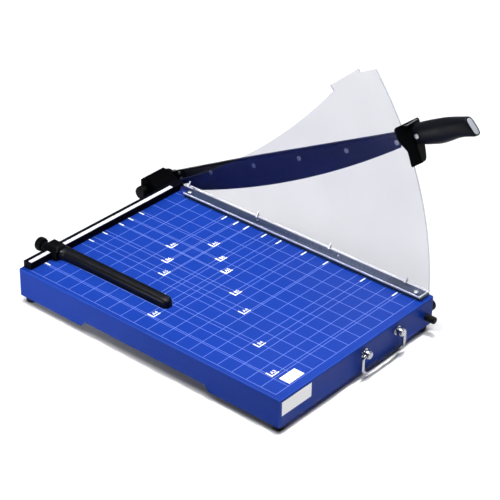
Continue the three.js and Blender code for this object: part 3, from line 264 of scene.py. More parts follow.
@dataclass(frozen=True)
class StoveEnamel(Finish):
    """Stoving enamel on sheet steel: sprayed and baked, so it is glossy with a faint orange peel.
    Its folds are paler: partly enamel pulled thin there, partly a painted highlight along them."""

    # Paler fold colour: partly thin enamel, partly a painted highlight along the folds.
    fold_colour: str = "#4a66c8"
    fold_share: float = 0.22
    deep_colour: str = "#0a2a78"
    deep_share: float = 0.25
    cloud_mm: float = 60.0
    sheen_mm: float = 18.0
    sheen_swing: float = 0.05
    peel_mm: float = 2.2
    peel_depth_mm: float = 0.006

    def shade(self, tree: bpy.types.NodeTree, shader: bpy.types.Node) -> None:
        """Add cloudiness, orange peel and the pale folds, which are partly a painted highlight."""
        clouds = self.spread(tree, self.noise(tree, self.cloud_mm, detail=3.0), 0.0, self.deep_share)
        body = self.blend(tree, clouds, self.colour, self.deep_colour)
        tinted = self.blend(tree, self.edges(tree, self.fold_share), body, self.fold_colour)
        tree.links.new(tinted, shader.inputs["Base Color"])
        low, high = self.roughness - self.sheen_swing, self.roughness + self.sheen_swing
        rough = self.spread(tree, self.noise(tree, self.sheen_mm), low, high)
        tree.links.new(rough, shader.inputs["Roughness"])
        self.relief(tree, shader, self.noise(tree, self.peel_mm, detail=1.0), self.peel_depth_mm)


@dataclass(frozen=True)
class Moulding(Finish):
    """Moulded plastic, a painted casting or an anodised bar: a fine spark-eroded, sand or drawn
    texture, a slightly uneven sheen, and paler edges, partly polished by hands and partly a painted
    highlight."""

    # Paler edge colour: partly wear from hands, partly a painted highlight.
    edge_colour: str = "#2b2d33"
    edge_share: float = 0.5
    grain_mm: float = 0.9
    grain_depth_mm: float = 0.02
    sheen_mm: float = 14.0
    sheen_swing: float = 0.06

    def shade(self, tree: bpy.types.NodeTree, shader: bpy.types.Node) -> None:
        """Add the texture, the uneven sheen and the paler edges, which are partly a painted highlight.
        """
        # The real texture is about 0.2 mm; it is drawn coarser so that it shows.
        grain = self.noise(tree, self.grain_mm, detail=3.0)
        self.relief(tree, shader, grain, self.grain_depth_mm)
        low, high = self.roughness - self.sheen_swing, self.roughness + self.sheen_swing
        sheen = self.spread(tree, self.noise(tree, self.sheen_mm), low, high)
        tree.links.new(sheen, shader.inputs["Roughness"])
        toned = self.blend(tree, self.edges(tree, self.edge_share), self.colour, self.edge_colour)
        tree.links.new(toned, shader.inputs["Base Color"])


@dataclass(frozen=True)
class Metal(Finish):
    """Bare or plated metal: the grinding or drawing lines give it direction, and handling
    leaves it a little duller in patches."""

    dull_colour: str = "#6f7276"
    dull_share: float = 0.5
    patch_mm: float = 9.0
    line_mm: float = 0.25
    line_stretch: Point = (1.0, 60.0, 1.0)
    line_depth_mm: float = 0.004
    least_roughness: float = 0.02
    line_gloss: float = 0.05
    line_dulling: float = 0.08
    metallic: float = 1.0

    def shade(self, tree: bpy.types.NodeTree, shader: bpy.types.Node) -> None:
        """Add the drawn lines and the duller patches."""
        shader.inputs["Metallic"].default_value = self.metallic
        # Real grinding lines are under 0.05 mm apart; they are drawn coarser so that they show.
        lines = self.noise(tree, self.line_mm, stretch=self.line_stretch)
        patches = self.spread(tree, self.noise(tree, self.patch_mm), 0.0, self.dull_share)
        toned = self.blend(tree, patches, self.colour, self.dull_colour)
        tree.links.new(toned, shader.inputs["Base Color"])
        low = max(self.least_roughness, self.roughness - self.line_gloss)
        rough = self.spread(tree, lines, low, self.roughness + self.line_dulling)
        tree.links.new(rough, shader.inputs["Roughness"])
        self.relief(tree, shader, lines, self.line_depth_mm)


@dataclass(frozen=True)
class ClearSheet(Finish):
    """Sawn acrylic sheet: clear with a faint grey-blue veil, and pale, half opaque cut edges: frosted
    as sawn, and partly a painted highlight.
    """

    veil: float = 0.13
    edge_colour: str = "#7c809c"
    edge_opacity: float = 0.5
    haze_mm: float = 90.0
    haze_swing: float = 0.012
    ior: float = 1.49

    def shade(self, tree: bpy.types.NodeTree, shader: bpy.types.Node) -> None:
        """Make the faces clear and the cut edges pale, partly as a painted highlight."""
        cut = self.edges(tree)
        toned = self.blend(tree, cut, self.colour, self.edge_colour)
        tree.links.new(toned, shader.inputs["Base Color"])
        haze = self.spread(
            tree, self.noise(tree, self.haze_mm), -self.haze_swing, self.haze_swing
        )
        opacity = add_node(
            tree,
            "ShaderNodeMapRange",
            {"Value": cut, "To Min": self.veil, "To Max": self.edge_opacity},
        )
        total = add_node(
            tree,
            "ShaderNodeMath",
            {0: opacity.outputs["Result"], 1: haze},
            operation="ADD",
            use_clamp=True,
        )
        tree.links.new(total.outputs[0], shader.inputs["Alpha"])
        shader.inputs["IOR"].default_value = self.ior


@dataclass(frozen=True)
class Ink(Finish):
    """Screen ink, film, or near-white paint that stands for lit acrylic as a painted highlight: flat,
    even colour that varies very slightly.
    """

    specular: float = 0.3
    thin_colour: str = "#c3ccf4"
    thin_share: float = 0.35
    mesh_mm: float = 1.5

    def shade(self, tree: bpy.types.NodeTree, shader: bpy.types.Node) -> None:
        """Thin the colour in fine patches."""
        # The mesh of the screen is about 0.1 mm; it is drawn coarser so that it shows.
        patches = self.spread(tree, self.noise(tree, self.mesh_mm), 0.0, self.thin_share)
        toned = self.blend(tree, patches, self.colour, self.thin_colour)
        tree.links.new(toned, shader.inputs["Base Color"])


@dataclass(frozen=True)
class StudioPaper(Finish):
    """Matt background paper, faintly mottled."""

    specular: float = 0.1
    mottle_colour: str = "#f0f0f0"
    mottle_share: float = 0.04
    mottle_mm: float = 40.0

    def shade(self, tree: bpy.types.NodeTree, shader: bpy.types.Node) -> None:
        """Add the mottling."""
        mottle = self.spread(tree, self.noise(tree, self.mottle_mm), 0.0, self.mottle_share)
        toned = self.blend(tree, mottle, self.colour, self.mottle_colour)
        tree.links.new(toned, shader.inputs["Base Color"])


ENAMEL = StoveEnamel("blue stoving enamel", "#123186", 0.34, specular=0.05)
# The bluish edge colour is a painted highlight along the arm's edges.
BLACK_STEEL = Moulding(
    "black stoved steel", "#05060f", 0.42, 0.08, "#1c2038", grain_mm=1.4, grain_depth_mm=0.008
)
BLUED_STEEL = Metal(
    "blued tool steel",
    "#0a0c1c",
    0.46,
    0.2,
    "#06070f",
    line_mm=0.35,
    line_stretch=(1.0, 1.0, 40.0),
    metallic=0.12,
)
CASTING = Moulding(
    "black stoved casting", "#020205", 0.5, 0.02, "#0a0b10", grain_mm=1.6, grain_depth_mm=0.03
)
# The bluish edge colour is a painted reflection of the blue board along the bars' rims.
BLACK_BAR = Moulding(
    "black anodised aluminium", "#04050c", 0.5, 0.03, "#12142a", grain_mm=0.8, grain_depth_mm=0.006
)
SLATE_BAR = Moulding(
    "grey anodised aluminium", "#404b52", 0.45, 0.2, "#66727c", grain_mm=0.8, grain_depth_mm=0.006
)
BLACK_PLASTIC = Moulding(
    "black moulded ABS", "#030406", 0.4, 0.07, "#0e1014", grain_depth_mm=0.012
)
HANDLED_PLASTIC = Moulding(
    "black ABS, polished by hands", "#05060c", 0.36, 0.16, "#12141e", grain_depth_mm=0.006
)
# Grey rather than black: a painted highlight where the ledge ribs catch the light.
PAINTED_HIGHLIGHT_PLASTIC = Moulding(
    "black ABS, rubbed bright", "#6c7278", 0.3, 0.5, "#9aa0a6", grain_depth_mm=0.006
)
GRIP_PLASTIC = Moulding(
    "soft-touch grip moulding", "#0d0f15", 0.44, 0.14, "#181c26", grain_mm=0.8, grain_depth_mm=0.008
)
GREY_PLASTIC = Moulding("grey moulded ABS", "#b4bac2", 0.4, 0.5, "#c8cdd4", grain_depth_mm=0.012)
RUBBER = Moulding(
    "black rubber", "#060606", 0.62, 0.15, "#121212", grain_mm=1.2, grain_depth_mm=0.03
)
STRIP = Ink("white printed strip", "#eceaf8", 0.35, thin_colour="#dcdaf0")
CLEAR = ClearSheet("clear acrylic sheet", "#2a3682", 0.14, veil=0.19)
# Near-white: a painted highlight where the acrylic's edges, fillet and gussets catch the light.
PAINTED_HIGHLIGHT_ACRYLIC = Ink("cast acrylic fillet", "#f4f6ff", 0.3, thin_colour="#e6eaff")
STEEL = Metal("zinc-plated steel", "#b9bcc0", 0.3)
KNIFE = Metal("ground tool steel", "#9a9da2", 0.28)
CHROME = Metal(
    "bright nickel-chrome plate",
    "#b4b6ba",
    0.12,
    dull_colour="#8e9094",
    line_mm=1.2,
    line_stretch=(1.0, 1.0, 1.0),
    line_depth_mm=0.002,
)
SPRING = Metal("drawn spring wire", "#8d9094", 0.3)
WHITE_INK = Ink("white screen ink", "#f2f4ff", 0.45)
PALE_INK = Ink("pale blue screen ink", "#6076bd", 0.4, thin_colour="#4a62ac")
DARK_INK = Ink("grey screen ink", "#55565e", 0.45, thin_colour="#70717a")
PLATE_FILM = Ink("bare white vinyl plate", "#fafafa", 0.4, thin_colour="#f2f2f2")
PAPER = StudioPaper("pale studio paper", "#f8f8f8", 0.9)

# The finish of a carried-over CAD node: its own, or its material slot's.
OWN_FINISH: dict[str, Finish] = {"bed_knife": KNIFE}
SLOT_FINISH: dict[str, Finish] = {
    "blue_enamel": ENAMEL,
    "black_steel": BLACK_STEEL,
    "black_casting": CASTING,
    "black_bar": BLACK_BAR,
    "black_plastic": BLACK_PLASTIC,
    "grip_plastic": GRIP_PLASTIC,
    "grey_plastic": GREY_PLASTIC,
    "rubber": RUBBER,
    "clear_plate": CLEAR,
    "white_strip": STRIP,
    "blade_steel": BLUED_STEEL,
    "bright_steel": STEEL,
    "chrome": CHROME,
}


# Frames of reference


@dataclass(frozen=True)
class Bench:
    """The bench frame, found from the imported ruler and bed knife."""

    origin: Vector

    @classmethod
    def from_frame(cls) -> Bench:
        """Find the origin from where the ruler and the knife lie."""
        ruler_low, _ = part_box("ruler_bar")
        _, knife_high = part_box("bed_knife")
        return cls(Vector((knife_high.x, ruler_low.y, ruler_low.z)))

    def at(self, x: float, y: float, z: float) -> Vector:
        """Turn bench millimetres into a place in the shared frame, in metres."""
        return self.origin + Vector((x, y, z)) * MM

    def seen_along_x(self, y: float, z: float, x: float) -> Vector:
        """Place a point of an outline that is drawn in Y and Z."""
        return self.at(x, y, z)

    def seen_along_y(self, x: float, z: float, y: float) -> Vector:
        """Place a point of an outline that is drawn in X and Z."""
        return self.at(x, y, z)


@dataclass(frozen=True)
class ArmLine:
    """The arm's own frame at rest: along it from the pivot, and up across it."""

    bench: Bench
    pivot_y: float = 42.0
    pivot_z: float = -3.0
    lift_degrees: float = 26.7

    def at(self, x: float, along: float, up: float) -> Vector:
        """Turn arm millimetres into a place in the shared frame, in metres."""
        lift = math.radians(self.lift_degrees)
        y = self.pivot_y - along * math.cos(lift) + up * math.sin(lift)
        z = self.pivot_z + along * math.sin(lift) + up * math.cos(lift)
        return self.bench.at(x, y, z)

    def seen_along_arm(self, x: float, up: float, along: float) -> Vector:
        """Place a point of an outline that is drawn across the arm."""
        return self.at(x, along, up)

    def seen_along_x(self, along: float, up: float, x: float) -> Vector:
        """Place a point of an outline that is drawn from the arm's side."""
        return self.at(x, along, up)


# Mesh helpers


def new_object(name: str, mesh: bpy.types.Mesh) -> bpy.types.Object:
    """Put a mesh into the scene as an object at the origin."""
    made = bpy.data.objects.new(name, mesh)
    bpy.context.scene.collection.objects.link(made)
    return made


def settled(holder: bpy.types.Object) -> bpy.types.Object:
    """Turn an object with live modifiers into a plain mesh object.

    Args:
        holder: the object; it keeps its name and loses its modifiers.

    Returns:
        The same object, with the evaluated mesh.
    """
    seen = bpy.context.evaluated_depsgraph_get()
    mesh = bpy.data.meshes.new_from_object(holder.evaluated_get(seen), depsgraph=seen)
    holder.modifiers.clear()
    holder.data = mesh
    return holder


def object_from(bm: bmesh.types.BMesh, name: str, crease_degrees: float = 32.0) -> bpy.types.Object:
    """Make an object from a bmesh, smooth but for its creases.

    Args:
        bm: the shape, in metres in the shared frame; it is freed.
        name: the object's name.
        crease_degrees: edges sharper than this stay sharp.

    Returns:
        The object, with flat faces that shade flat beside rounded edges.
    """
    mesh = bpy.data.meshes.new(name)
    bm.to_mesh(mesh)
    bm.free()
    for polygon in mesh.polygons:
        polygon.use_smooth = True
    mesh.set_sharp_from_angle(angle=math.radians(crease_degrees))
    made = new_object(name, mesh)
    weighted = made.modifiers.new("even faces", "WEIGHTED_NORMAL")
    weighted.keep_sharp = True
    weighted.weight = FACE_WEIGHT
    return settled(made)


def lathe(
    profile: Sequence[Pair], centre: Vector, axis: Axis, sides: int
) -> bmesh.types.BMesh:
    """Turn a profile round an axis into a closed body.

    Args:
        profile: radius and height pairs in millimetres; the ends are closed.
        centre: where height zero lies, in metres.
        axis: the turning axis.
        sides: how many sides the body has.

    Returns:
        The turned body, its faces outwards.
    """
    bm = bmesh.new()
    turn = Vector((0, 0, 1)).rotation_difference(Vector(axis.value)).to_matrix()
    rings: list[Ring] = []
    for radius, height in profile:
        if radius == 0:
            rings.append([bm.verts.new(centre + turn @ Vector((0, 0, height)) * MM)])
            continue
        ring = []
        for side in range(sides):
            angle = 2 * math.pi * side / sides
            place = Vector((radius * math.cos(angle), radius * math.sin(angle), height))
            ring.append(bm.verts.new(centre + turn @ place * MM))
        rings.append(ring)
    loft(bm, rings)
    return bm


def skin(bm: bmesh.types.BMesh, low: Ring, high: Ring) -> None:
    """Join two rings, or a ring and a point, with faces."""
    count = max(len(low), len(high))
    for side in range(count):
        after = (side + 1) % count
        bottom = [low[side % len(low)], low[after % len(low)]]
        top = [high[after % len(high)], high[side % len(high)]]
        bm.faces.new(list(dict.fromkeys(bottom + top)))


def loft(bm: bmesh.types.BMesh, rings: Sequence[Ring]) -> None:
    """Join rings in a row into a closed body, its faces outwards."""
    for low, high in zip(rings, rings[1:]):
        skin(bm, low, high)
    for end in (rings[0], rings[-1]):
        if len(end) > 1:
            bm.faces.new(end)
    bmesh.ops.recalc_face_normals(bm, faces=bm.faces)


def block(bm: bmesh.types.BMesh, low: Vector, high: Vector) -> None:
    """Add a closed box between two corners, in metres."""
    made = bmesh.ops.create_cube(bm, size=1.0)
    size = high - low
    bmesh.ops.scale(bm, vec=size, verts=made["verts"])
    bmesh.ops.translate(bm, vec=(low + high) / 2, verts=made["verts"])


def prism(
    outline: Sequence[Pair],
    low: float,
    high: float,
    place: Callable[[float, float, float], Vector],
) -> bmesh.types.BMesh:
    """Raise an outline into a solid.

    Args:
        outline: its corners in its own plane, in millimetres.
        low: where the solid starts, square to that plane.
        high: where it ends.
        place: turns two places in the plane and one square to it into a point in metres.

    Returns:
        The solid, its faces outwards.
    """
    bm = bmesh.new()
    loft(bm, [[bm.verts.new(place(a, b, level)) for a, b in outline] for level in (low, high)])
    return bm


def bend(start: Pair, control: Pair, end: Pair, steps: int = 8) -> list[Pair]:
    """Give the points of a quadratic bend after its start."""
    shares = [step / steps for step in range(1, steps + 1)]
    return [
        tuple((1 - t) ** 2 * a + 2 * t * (1 - t) * b + t**2 * c for a, b, c in zip(start, control, end))
        for t in shares
    ]


def curve_value(points: Sequence[Pair], place: float) -> float:
    """Read a smooth curve through points, straight at its ends.

    Args:
        points: place and value pairs, in order.
        place: where to read it.

    Returns:
        The value there.
    """
    last = len(points) - 2
    index = next((i for i in range(last) if place <= points[i + 1][0]), last)
    (x1, y1), (x2, y2) = points[index], points[index + 1]
    x0, y0 = points[max(index - 1, 0)]
    x3, y3 = points[min(index + 2, last + 1)]
    span = x2 - x1
    t = (place - x1) / span
    start = (y2 - y0) / (x2 - x0) * span
    end = (y3 - y1) / (x3 - x1) * span
    return (
        (2 * t**3 - 3 * t**2 + 1) * y1
        + (t**3 - 2 * t**2 + t) * start
        + (3 * t**2 - 2 * t**3) * y2
        + (t**3 - t**2) * end
    )


def rounded_share(value: float, power: float) -> float:
    """Raise a sine or cosine to a power and keep its sign: below 1 an oval turns squarer."""
    return math.copysign(abs(value) ** power, value)


def quarter_round(share: float) -> float:
    """Give the fall of a quarter circle: 0 where the share is 0 and 1 where it is 1."""
    held = min(1.0, max(0.0, share))
    return 1 - math.sqrt(1 - held**2)


def mark_edges(mesh: bpy.types.Mesh, is_edge: Callable[[bpy.types.MeshPolygon], bool]) -> None:
    """Write the edge attribute that the finishes read: 1 on faces that are edges, 0 elsewhere."""
    known = mesh.attributes.get(EDGE_MARK)
    if known:
        mesh.attributes.remove(known)
    attribute = mesh.attributes.new(EDGE_MARK, "FLOAT", "FACE")
    attribute.data.foreach_set("value", [1.0 if is_edge(p) else 0.0 for p in mesh.polygons])


@dataclass(frozen=True)
class Softening:
    """How the edges of a copied solid are rounded: radius, steps and the angle it starts from."""

    radius: float = 0.5
    steps: int = 2
    from_degrees: float = 40.0
    crease_degrees: float = 34.0
    weld_mm: float = 0.01
    flat_degrees: float = 0.6

    def copy_of(self, node: bpy.types.Object, name: str) -> bpy.types.Object:
        """Copy a CAD node's solid with its edges rounded.

        Args:
            node: the CAD node; it stays as it is.
            name: the copy's name.

        Returns:
            The copy, with its rounded faces marked as edges.
        """
        bm = bmesh.new()
        bm.from_mesh(node.data)
        bmesh.ops.remove_doubles(bm, verts=bm.verts, dist=self.weld_mm * MM)
        flat = math.radians(self.flat_degrees)
        bmesh.ops.dissolve_limit(bm, angle_limit=flat, verts=bm.verts, edges=bm.edges)
        return self.rounded(bm, name)

    def rounded(self, bm: bmesh.types.BMesh, name: str) -> bpy.types.Object:
        """Round the sharp edges of a solid.

        Args:
            bm: the closed solid; it is freed.
            name: the object's name.

        Returns:
            The object, with its rounded faces marked as edges.
        """
        mark = bm.faces.layers.float.new(EDGE_MARK)
        sharp = math.radians(self.from_degrees)
        rims = [e for e in bm.edges if e.is_manifold and e.calc_face_angle(0.0) > sharp]
        if rims and self.radius > 0:
            made = bmesh.ops.bevel(
                bm,
                geom=rims,
                offset=self.radius * MM,
                offset_type="OFFSET",
                segments=self.steps,
                profile=0.5,
                affect="EDGES",
                clamp_overlap=True,
            )
            for face in made["faces"]:
                face[mark] = 1.0
        return object_from(bm, name, self.crease_degrees)


# Geometry Nodes patterns


class Pattern:
    """A Geometry Nodes tree with named inputs, run once and left as a plain mesh."""

    SOCKETS = {
        float: "NodeSocketFloat",
        int: "NodeSocketInt",
        tuple: "NodeSocketVector",
        bpy.types.Object: "NodeSocketObject",
    }

    def __init__(self, name: str, inputs: dict[str, float | int | Point | bpy.types.Object]) -> None:
        """Open the tree with its named inputs and remember what they hold."""
        self.name = name
        self.values = inputs
        self.tree = bpy.data.node_groups.new(name, "GeometryNodeTree")
        self.identifiers: dict[str, str] = {}
        for label, value in inputs.items():
            is_object = isinstance(value, bpy.types.Object)
            kind = self.SOCKETS[bpy.types.Object if is_object else type(value)]
            socket = self.tree.interface.new_socket(name=label, in_out="INPUT", socket_type=kind)
            self.identifiers[label] = socket.identifier
        self.tree.interface.new_socket(
            name="Geometry", in_out="OUTPUT", socket_type="NodeSocketGeometry"
        )
        self.entry = add_node(self.tree, "NodeGroupInput")

    def node(self, kind: str, inputs: dict | None = None, **settings) -> bpy.types.Node:
        """Add a node to this pattern's tree."""
        return add_node(self.tree, kind, inputs, **settings)

    def value(self, label: str) -> bpy.types.NodeSocket:
        """Give the socket of a named input."""
        return self.entry.outputs[label]

    def run(self, geometry: bpy.types.NodeSocket, finish: Finish) -> bpy.types.Object:
        """Close the tree, run it and keep its result.

        Args:
            geometry: the socket that carries the finished shape.
            finish: the finish that the tree sets on it.

        Returns:
            A plain mesh object named for the pattern.
        """
        real = self.node("GeometryNodeRealizeInstances", {"Geometry": geometry})
        dressed = self.node(
            "GeometryNodeSetMaterial", {"Geometry": real.outputs[0], "Material": finish.material()}
        )
        self.node("NodeGroupOutput", {"Geometry": dressed.outputs[0]})
        holder = new_object(self.name, bpy.data.meshes.new(self.name))
        modifier = holder.modifiers.new(self.name, "NODES")
        modifier.node_group = self.tree
        for label, value in self.values.items():
            modifier[self.identifiers[label]] = value
        return settled(holder)


def bar_row(
    name: str, count: int, start: Vector, step: Point, size: Point, finish: Finish
) -> bpy.types.Object:
    """Make a row of equal bars, such as grid lines or scale divisions.

    Args:
        name: the piece's name.
        count: how many bars there are.
        start: the middle of the first bar, in metres.
        step: from one bar to the next, in millimetres.
        size: one bar's size, in millimetres.
        finish: the bars' finish.

    Returns:
        The row as one plain object.
    """
    pattern = Pattern(
        name,
        {
            "Bars": count,
            "Start": tuple(start),
            "Step": tuple(s * MM for s in step),
            "Bar Size": tuple(s * MM for s in size),
        },
    )
    line = pattern.node(
        "GeometryNodeMeshLine",
        {
            "Count": pattern.value("Bars"),
            "Start Location": pattern.value("Start"),
            "Offset": pattern.value("Step"),
        },
    )
    bar = pattern.node("GeometryNodeMeshCube", {"Size": pattern.value("Bar Size")})
    row = pattern.node(
        "GeometryNodeInstanceOnPoints", {"Points": line.outputs[0], "Instance": bar.outputs[0]}
    )
    return pattern.run(row.outputs[0], finish)


def stamped(
    name: str, places: Iterable[Vector], stamp: bpy.types.Object, finish: Finish
) -> bpy.types.Object:
    """Repeat one shape at many places, such as a screw head along a bar.

    Args:
        name: the piece's name.
        places: where the shape's own origin goes, in metres.
        stamp: the shape; it is removed afterwards.
        finish: the finish of every copy.

    Returns:
        All copies as one plain object.
    """
    mesh = bpy.data.meshes.new(name + " places")
    mesh.from_pydata([tuple(p) for p in places], [], [])
    marks = new_object(name + " places", mesh)
    pattern = Pattern(name, {"Places": marks, "Stamp": stamp})
    points = pattern.node("GeometryNodeObjectInfo", {"Object": pattern.value("Places")})
    shape = pattern.node("GeometryNodeObjectInfo", {"Object": pattern.value("Stamp")})
    copies = pattern.node(
        "GeometryNodeInstanceOnPoints",
        {"Points": points.outputs["Geometry"], "Instance": shape.outputs["Geometry"]},
    )
    made = pattern.run(copies.outputs[0], finish)
    for spent in (marks, stamp):
        bpy.data.objects.remove(spent)
    return made


def finished(
    piece: bpy.types.Object,
    body: str,
    slot: str,
    finish: Finish | None = None,
    replaces: Sequence[str] = (),
) -> bpy.types.Object:
    """Dress a piece and fix it to its body.

    Args:
        piece: the object, already in place.
        body: the CAD body that it rides on.
        slot: the record's material slot; it is not used.
        finish: its finish, unless its mesh already carries one.
        replaces: the CAD nodes that it stands for.

    Returns:
        The same piece.
    """
    if finish:
        piece.data.materials.clear()
        piece.data.materials.append(finish.material())
    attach(piece, body)
    if replaces:
        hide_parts(*replaces)
    LOG.info("%s: %d faces on %s", piece.name, len(piece.data.polygons), body)
    return piece


def text_mesh(words: str, height: float, place: Vector, name: str) -> bpy.types.Object:
    """Make flat lettering that lies on the board or the ruler and reads from the front.

    Args:
        words: what it says: a paper format or a number.
        height: the size of the letters in millimetres.
        place: the middle of the text, in metres.
        name: the object's name.

    Returns:
        The lettering as a plain mesh, in place.
    """
    capital_share = 0.7
    boldness = 0.015
    curve = bpy.data.curves.new(name, "FONT")
    curve.body = words
    curve.size = height * MM / capital_share
    curve.align_x = "CENTER"
    curve.align_y = "CENTER"
    curve.resolution_u = 2
    curve.offset = height * boldness * MM
    holder = bpy.data.objects.new(name, curve)
    bpy.context.scene.collection.objects.link(holder)
    seen = bpy.context.evaluated_depsgraph_get()
    mesh = bpy.data.meshes.new_from_object(holder.evaluated_get(seen))
    bpy.data.objects.remove(holder)
    mesh.transform(Matrix.Translation(place))
    return new_object(name, mesh)


def joined(parts: Sequence[bpy.types.Object], name: str) -> bpy.types.Object:
    """Join several plain objects into one."""
    bm = bmesh.new()
    for part in parts:
        bm.from_mesh(part.data)
        bpy.data.objects.remove(part)
    mesh = bpy.data.meshes.new(name)
    bm.to_mesh(mesh)
    bm.free()
    return new_object(name, mesh)


@dataclass
class CadParts:
    """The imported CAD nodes, with the material slot that each one had."""

    nodes: dict[str, bpy.types.Object]
    slots: dict[str, str] = field(default_factory=dict)

    def dress_all(self) -> None:
        """Note every node's slot, then give the node that slot's finish."""
        for name, node in self.nodes.items():
            slot = node.data.materials[0].name
            self.slots[name] = slot
            finish = OWN_FINISH.get(name, SLOT_FINISH[slot])
            node.data.materials.clear()
            node.data.materials.append(finish.material())

    def soften(
        self, name: str, piece_name: str, softening: Softening, finish: Finish
    ) -> bpy.types.Object:
        """Stand a softened copy in a node's place.

        Args:
            name: the CAD node.
            piece_name: the copy's name.
            softening: how its edges are rounded.
            finish: the copy's finish.

        Returns:
            The copy, on the node's own body.
        """
        node = self.nodes[name]
        piece = softening.copy_of(node, piece_name)
        return finished(piece, node["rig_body"], self.slots[name], finish, [name])


# Sub-assemblies


@dataclass
class Tray:
    """The folded board, its skirts and the bare plates on it."""

    cad: CadParts
    bench: Bench
    fold: Softening = field(default_factory=lambda: Softening(radius=0.0, crease_degrees=40.0))
    cad_fold: float = 3.0
    cad_corner: float = 6.0
    fold_share: float = 0.5
    corner_share: float = 0.5
    tolerance: float = 0.05
    # A face leans, and so belongs to a fold, when no part of its normal reaches this.
    flat_normal: float = 0.985
    middle_x: float = -170.0
    middle_y: float = -200.0
    step_x: float = -9.0
    step_y: float = -445.3
    skirt_y: float = -463.5
    corners: tuple[Pair, ...] = ((-333, -463.5), (-0.4, -463.5), (-9, 17), (-333, 17))
    # Plates: their lower left and upper right corners, in X and Z or in X and Y
    front_plate: tuple[Pair, Pair] = ((-328.5, -25.8), (-269, -4.4))
    board_plate: tuple[Pair, Pair] = ((-295, -447.5), (-264.5, -430.5))
    plate_proud: float = 0.15
    plate_sunk: float = 0.05

    def build(self) -> None:
        """Make the enamelled shell and its bare plates."""
        shell = self.cad.soften("base_shell", "enamelled_shell", self.fold, ENAMEL)
        self.tighten(shell.data)
        # Fold faces take the enamel's paler fold colour, partly a painted highlight along the folds.
        mark_edges(shell.data, lambda face: max(abs(c) for c in face.normal) < self.flat_normal)
        self.plates()

    def tighten(self, mesh: bpy.types.Mesh) -> None:
        """Draw the folds and corners in to the small radius that the press tool leaves."""
        for vertex in mesh.vertices:
            x, y, z = (vertex.co - self.bench.origin) / MM
            inset, corner, outward = self.nearest_side(x, y)
            reach = math.hypot(self.cad_fold - inset, self.cad_fold + z)
            on_fold = z > -self.cad_fold and abs(reach - self.cad_fold) < self.tolerance
            if not on_fold and abs(inset) > self.tolerance:
                continue
            share = self.fold_share if on_fold else 1.0
            moved = Vector((x, y, 0)) + outward * inset * (1 - share)
            if corner is not None:
                radius = self.cad_corner * self.corner_share
                way = Vector((*self.quarter(corner), 0))
                moved = corner - way * radius + outward * (radius - inset * share)
            vertex.co = self.bench.at(moved.x, moved.y, z * share if on_fold else z)

    def quarter(self, corner: Sequence[float]) -> Pair:
        """Tell which way in X and in Y a corner lies from the board's middle."""
        way_x = math.copysign(1, corner[0] - self.middle_x)
        return way_x, math.copysign(1, corner[1] - self.middle_y)

    def nearest_side(self, x: float, y: float) -> tuple[float, Vector | None, Vector]:
        """Find how far inside the board's outline a point lies.

        Args:
            x: the point's X in bench millimetres.
            y: its Y.

        Returns:
            The distance, the rounded corner that it belongs to, if any, and the way out.
        """
        hair = 0.01
        # Nearer the middle of a corner's arc than this, a point has no clear way out.
        arc_middle = 0.5
        for corner in self.corners:
            way_x, way_y = self.quarter(corner)
            across = (x - corner[0]) * way_x + self.cad_corner
            along = (y - corner[1]) * way_y + self.cad_corner
            if across > -hair and along > -hair and across + along > arc_middle:
                reach = math.hypot(across, along)
                outward = Vector((way_x * across, way_y * along, 0)) / reach
                return self.cad_corner - reach, Vector((*corner, 0)), outward
        right = self.step_x if y > self.step_y + hair else self.corners[1][0]
        sides = [
            (x - self.corners[0][0], Vector((-1, 0, 0))),
            (y - self.corners[0][1], Vector((0, -1, 0))),
            (self.corners[2][1] - y, Vector((0, 1, 0))),
            (right - x, Vector((1, 0, 0))),
        ]
        inset, outward = min(sides, key=lambda side: side[0])
        return inset, None, outward

    def plates(self) -> None:
        """Stick a bare white plate on the front skirt and one on the board's front left corner."""
        proud, sunk = self.plate_proud, self.plate_sunk
        (left, low), (right, high) = self.front_plate
        front = (left, self.skirt_y - proud, low), (right, self.skirt_y + sunk, high)
        (left, low), (right, high) = self.board_plate
        board = (left, low, -sunk), (right, high, proud)
        for name, (first, last) in (("front_plate", front), ("board_plate", board)):
            bm = bmesh.new()
            block(bm, self.bench.at(*first), self.bench.at(*last))
            finished(object_from(bm, name), "base", PRINT_SLOT, PLATE_FILM)


@dataclass(frozen=True)
class PaperFormat:
    """A paper size mark on the board: how far it lies from the cutting line and the ruler."""

    name: str
    across: float
    along: float


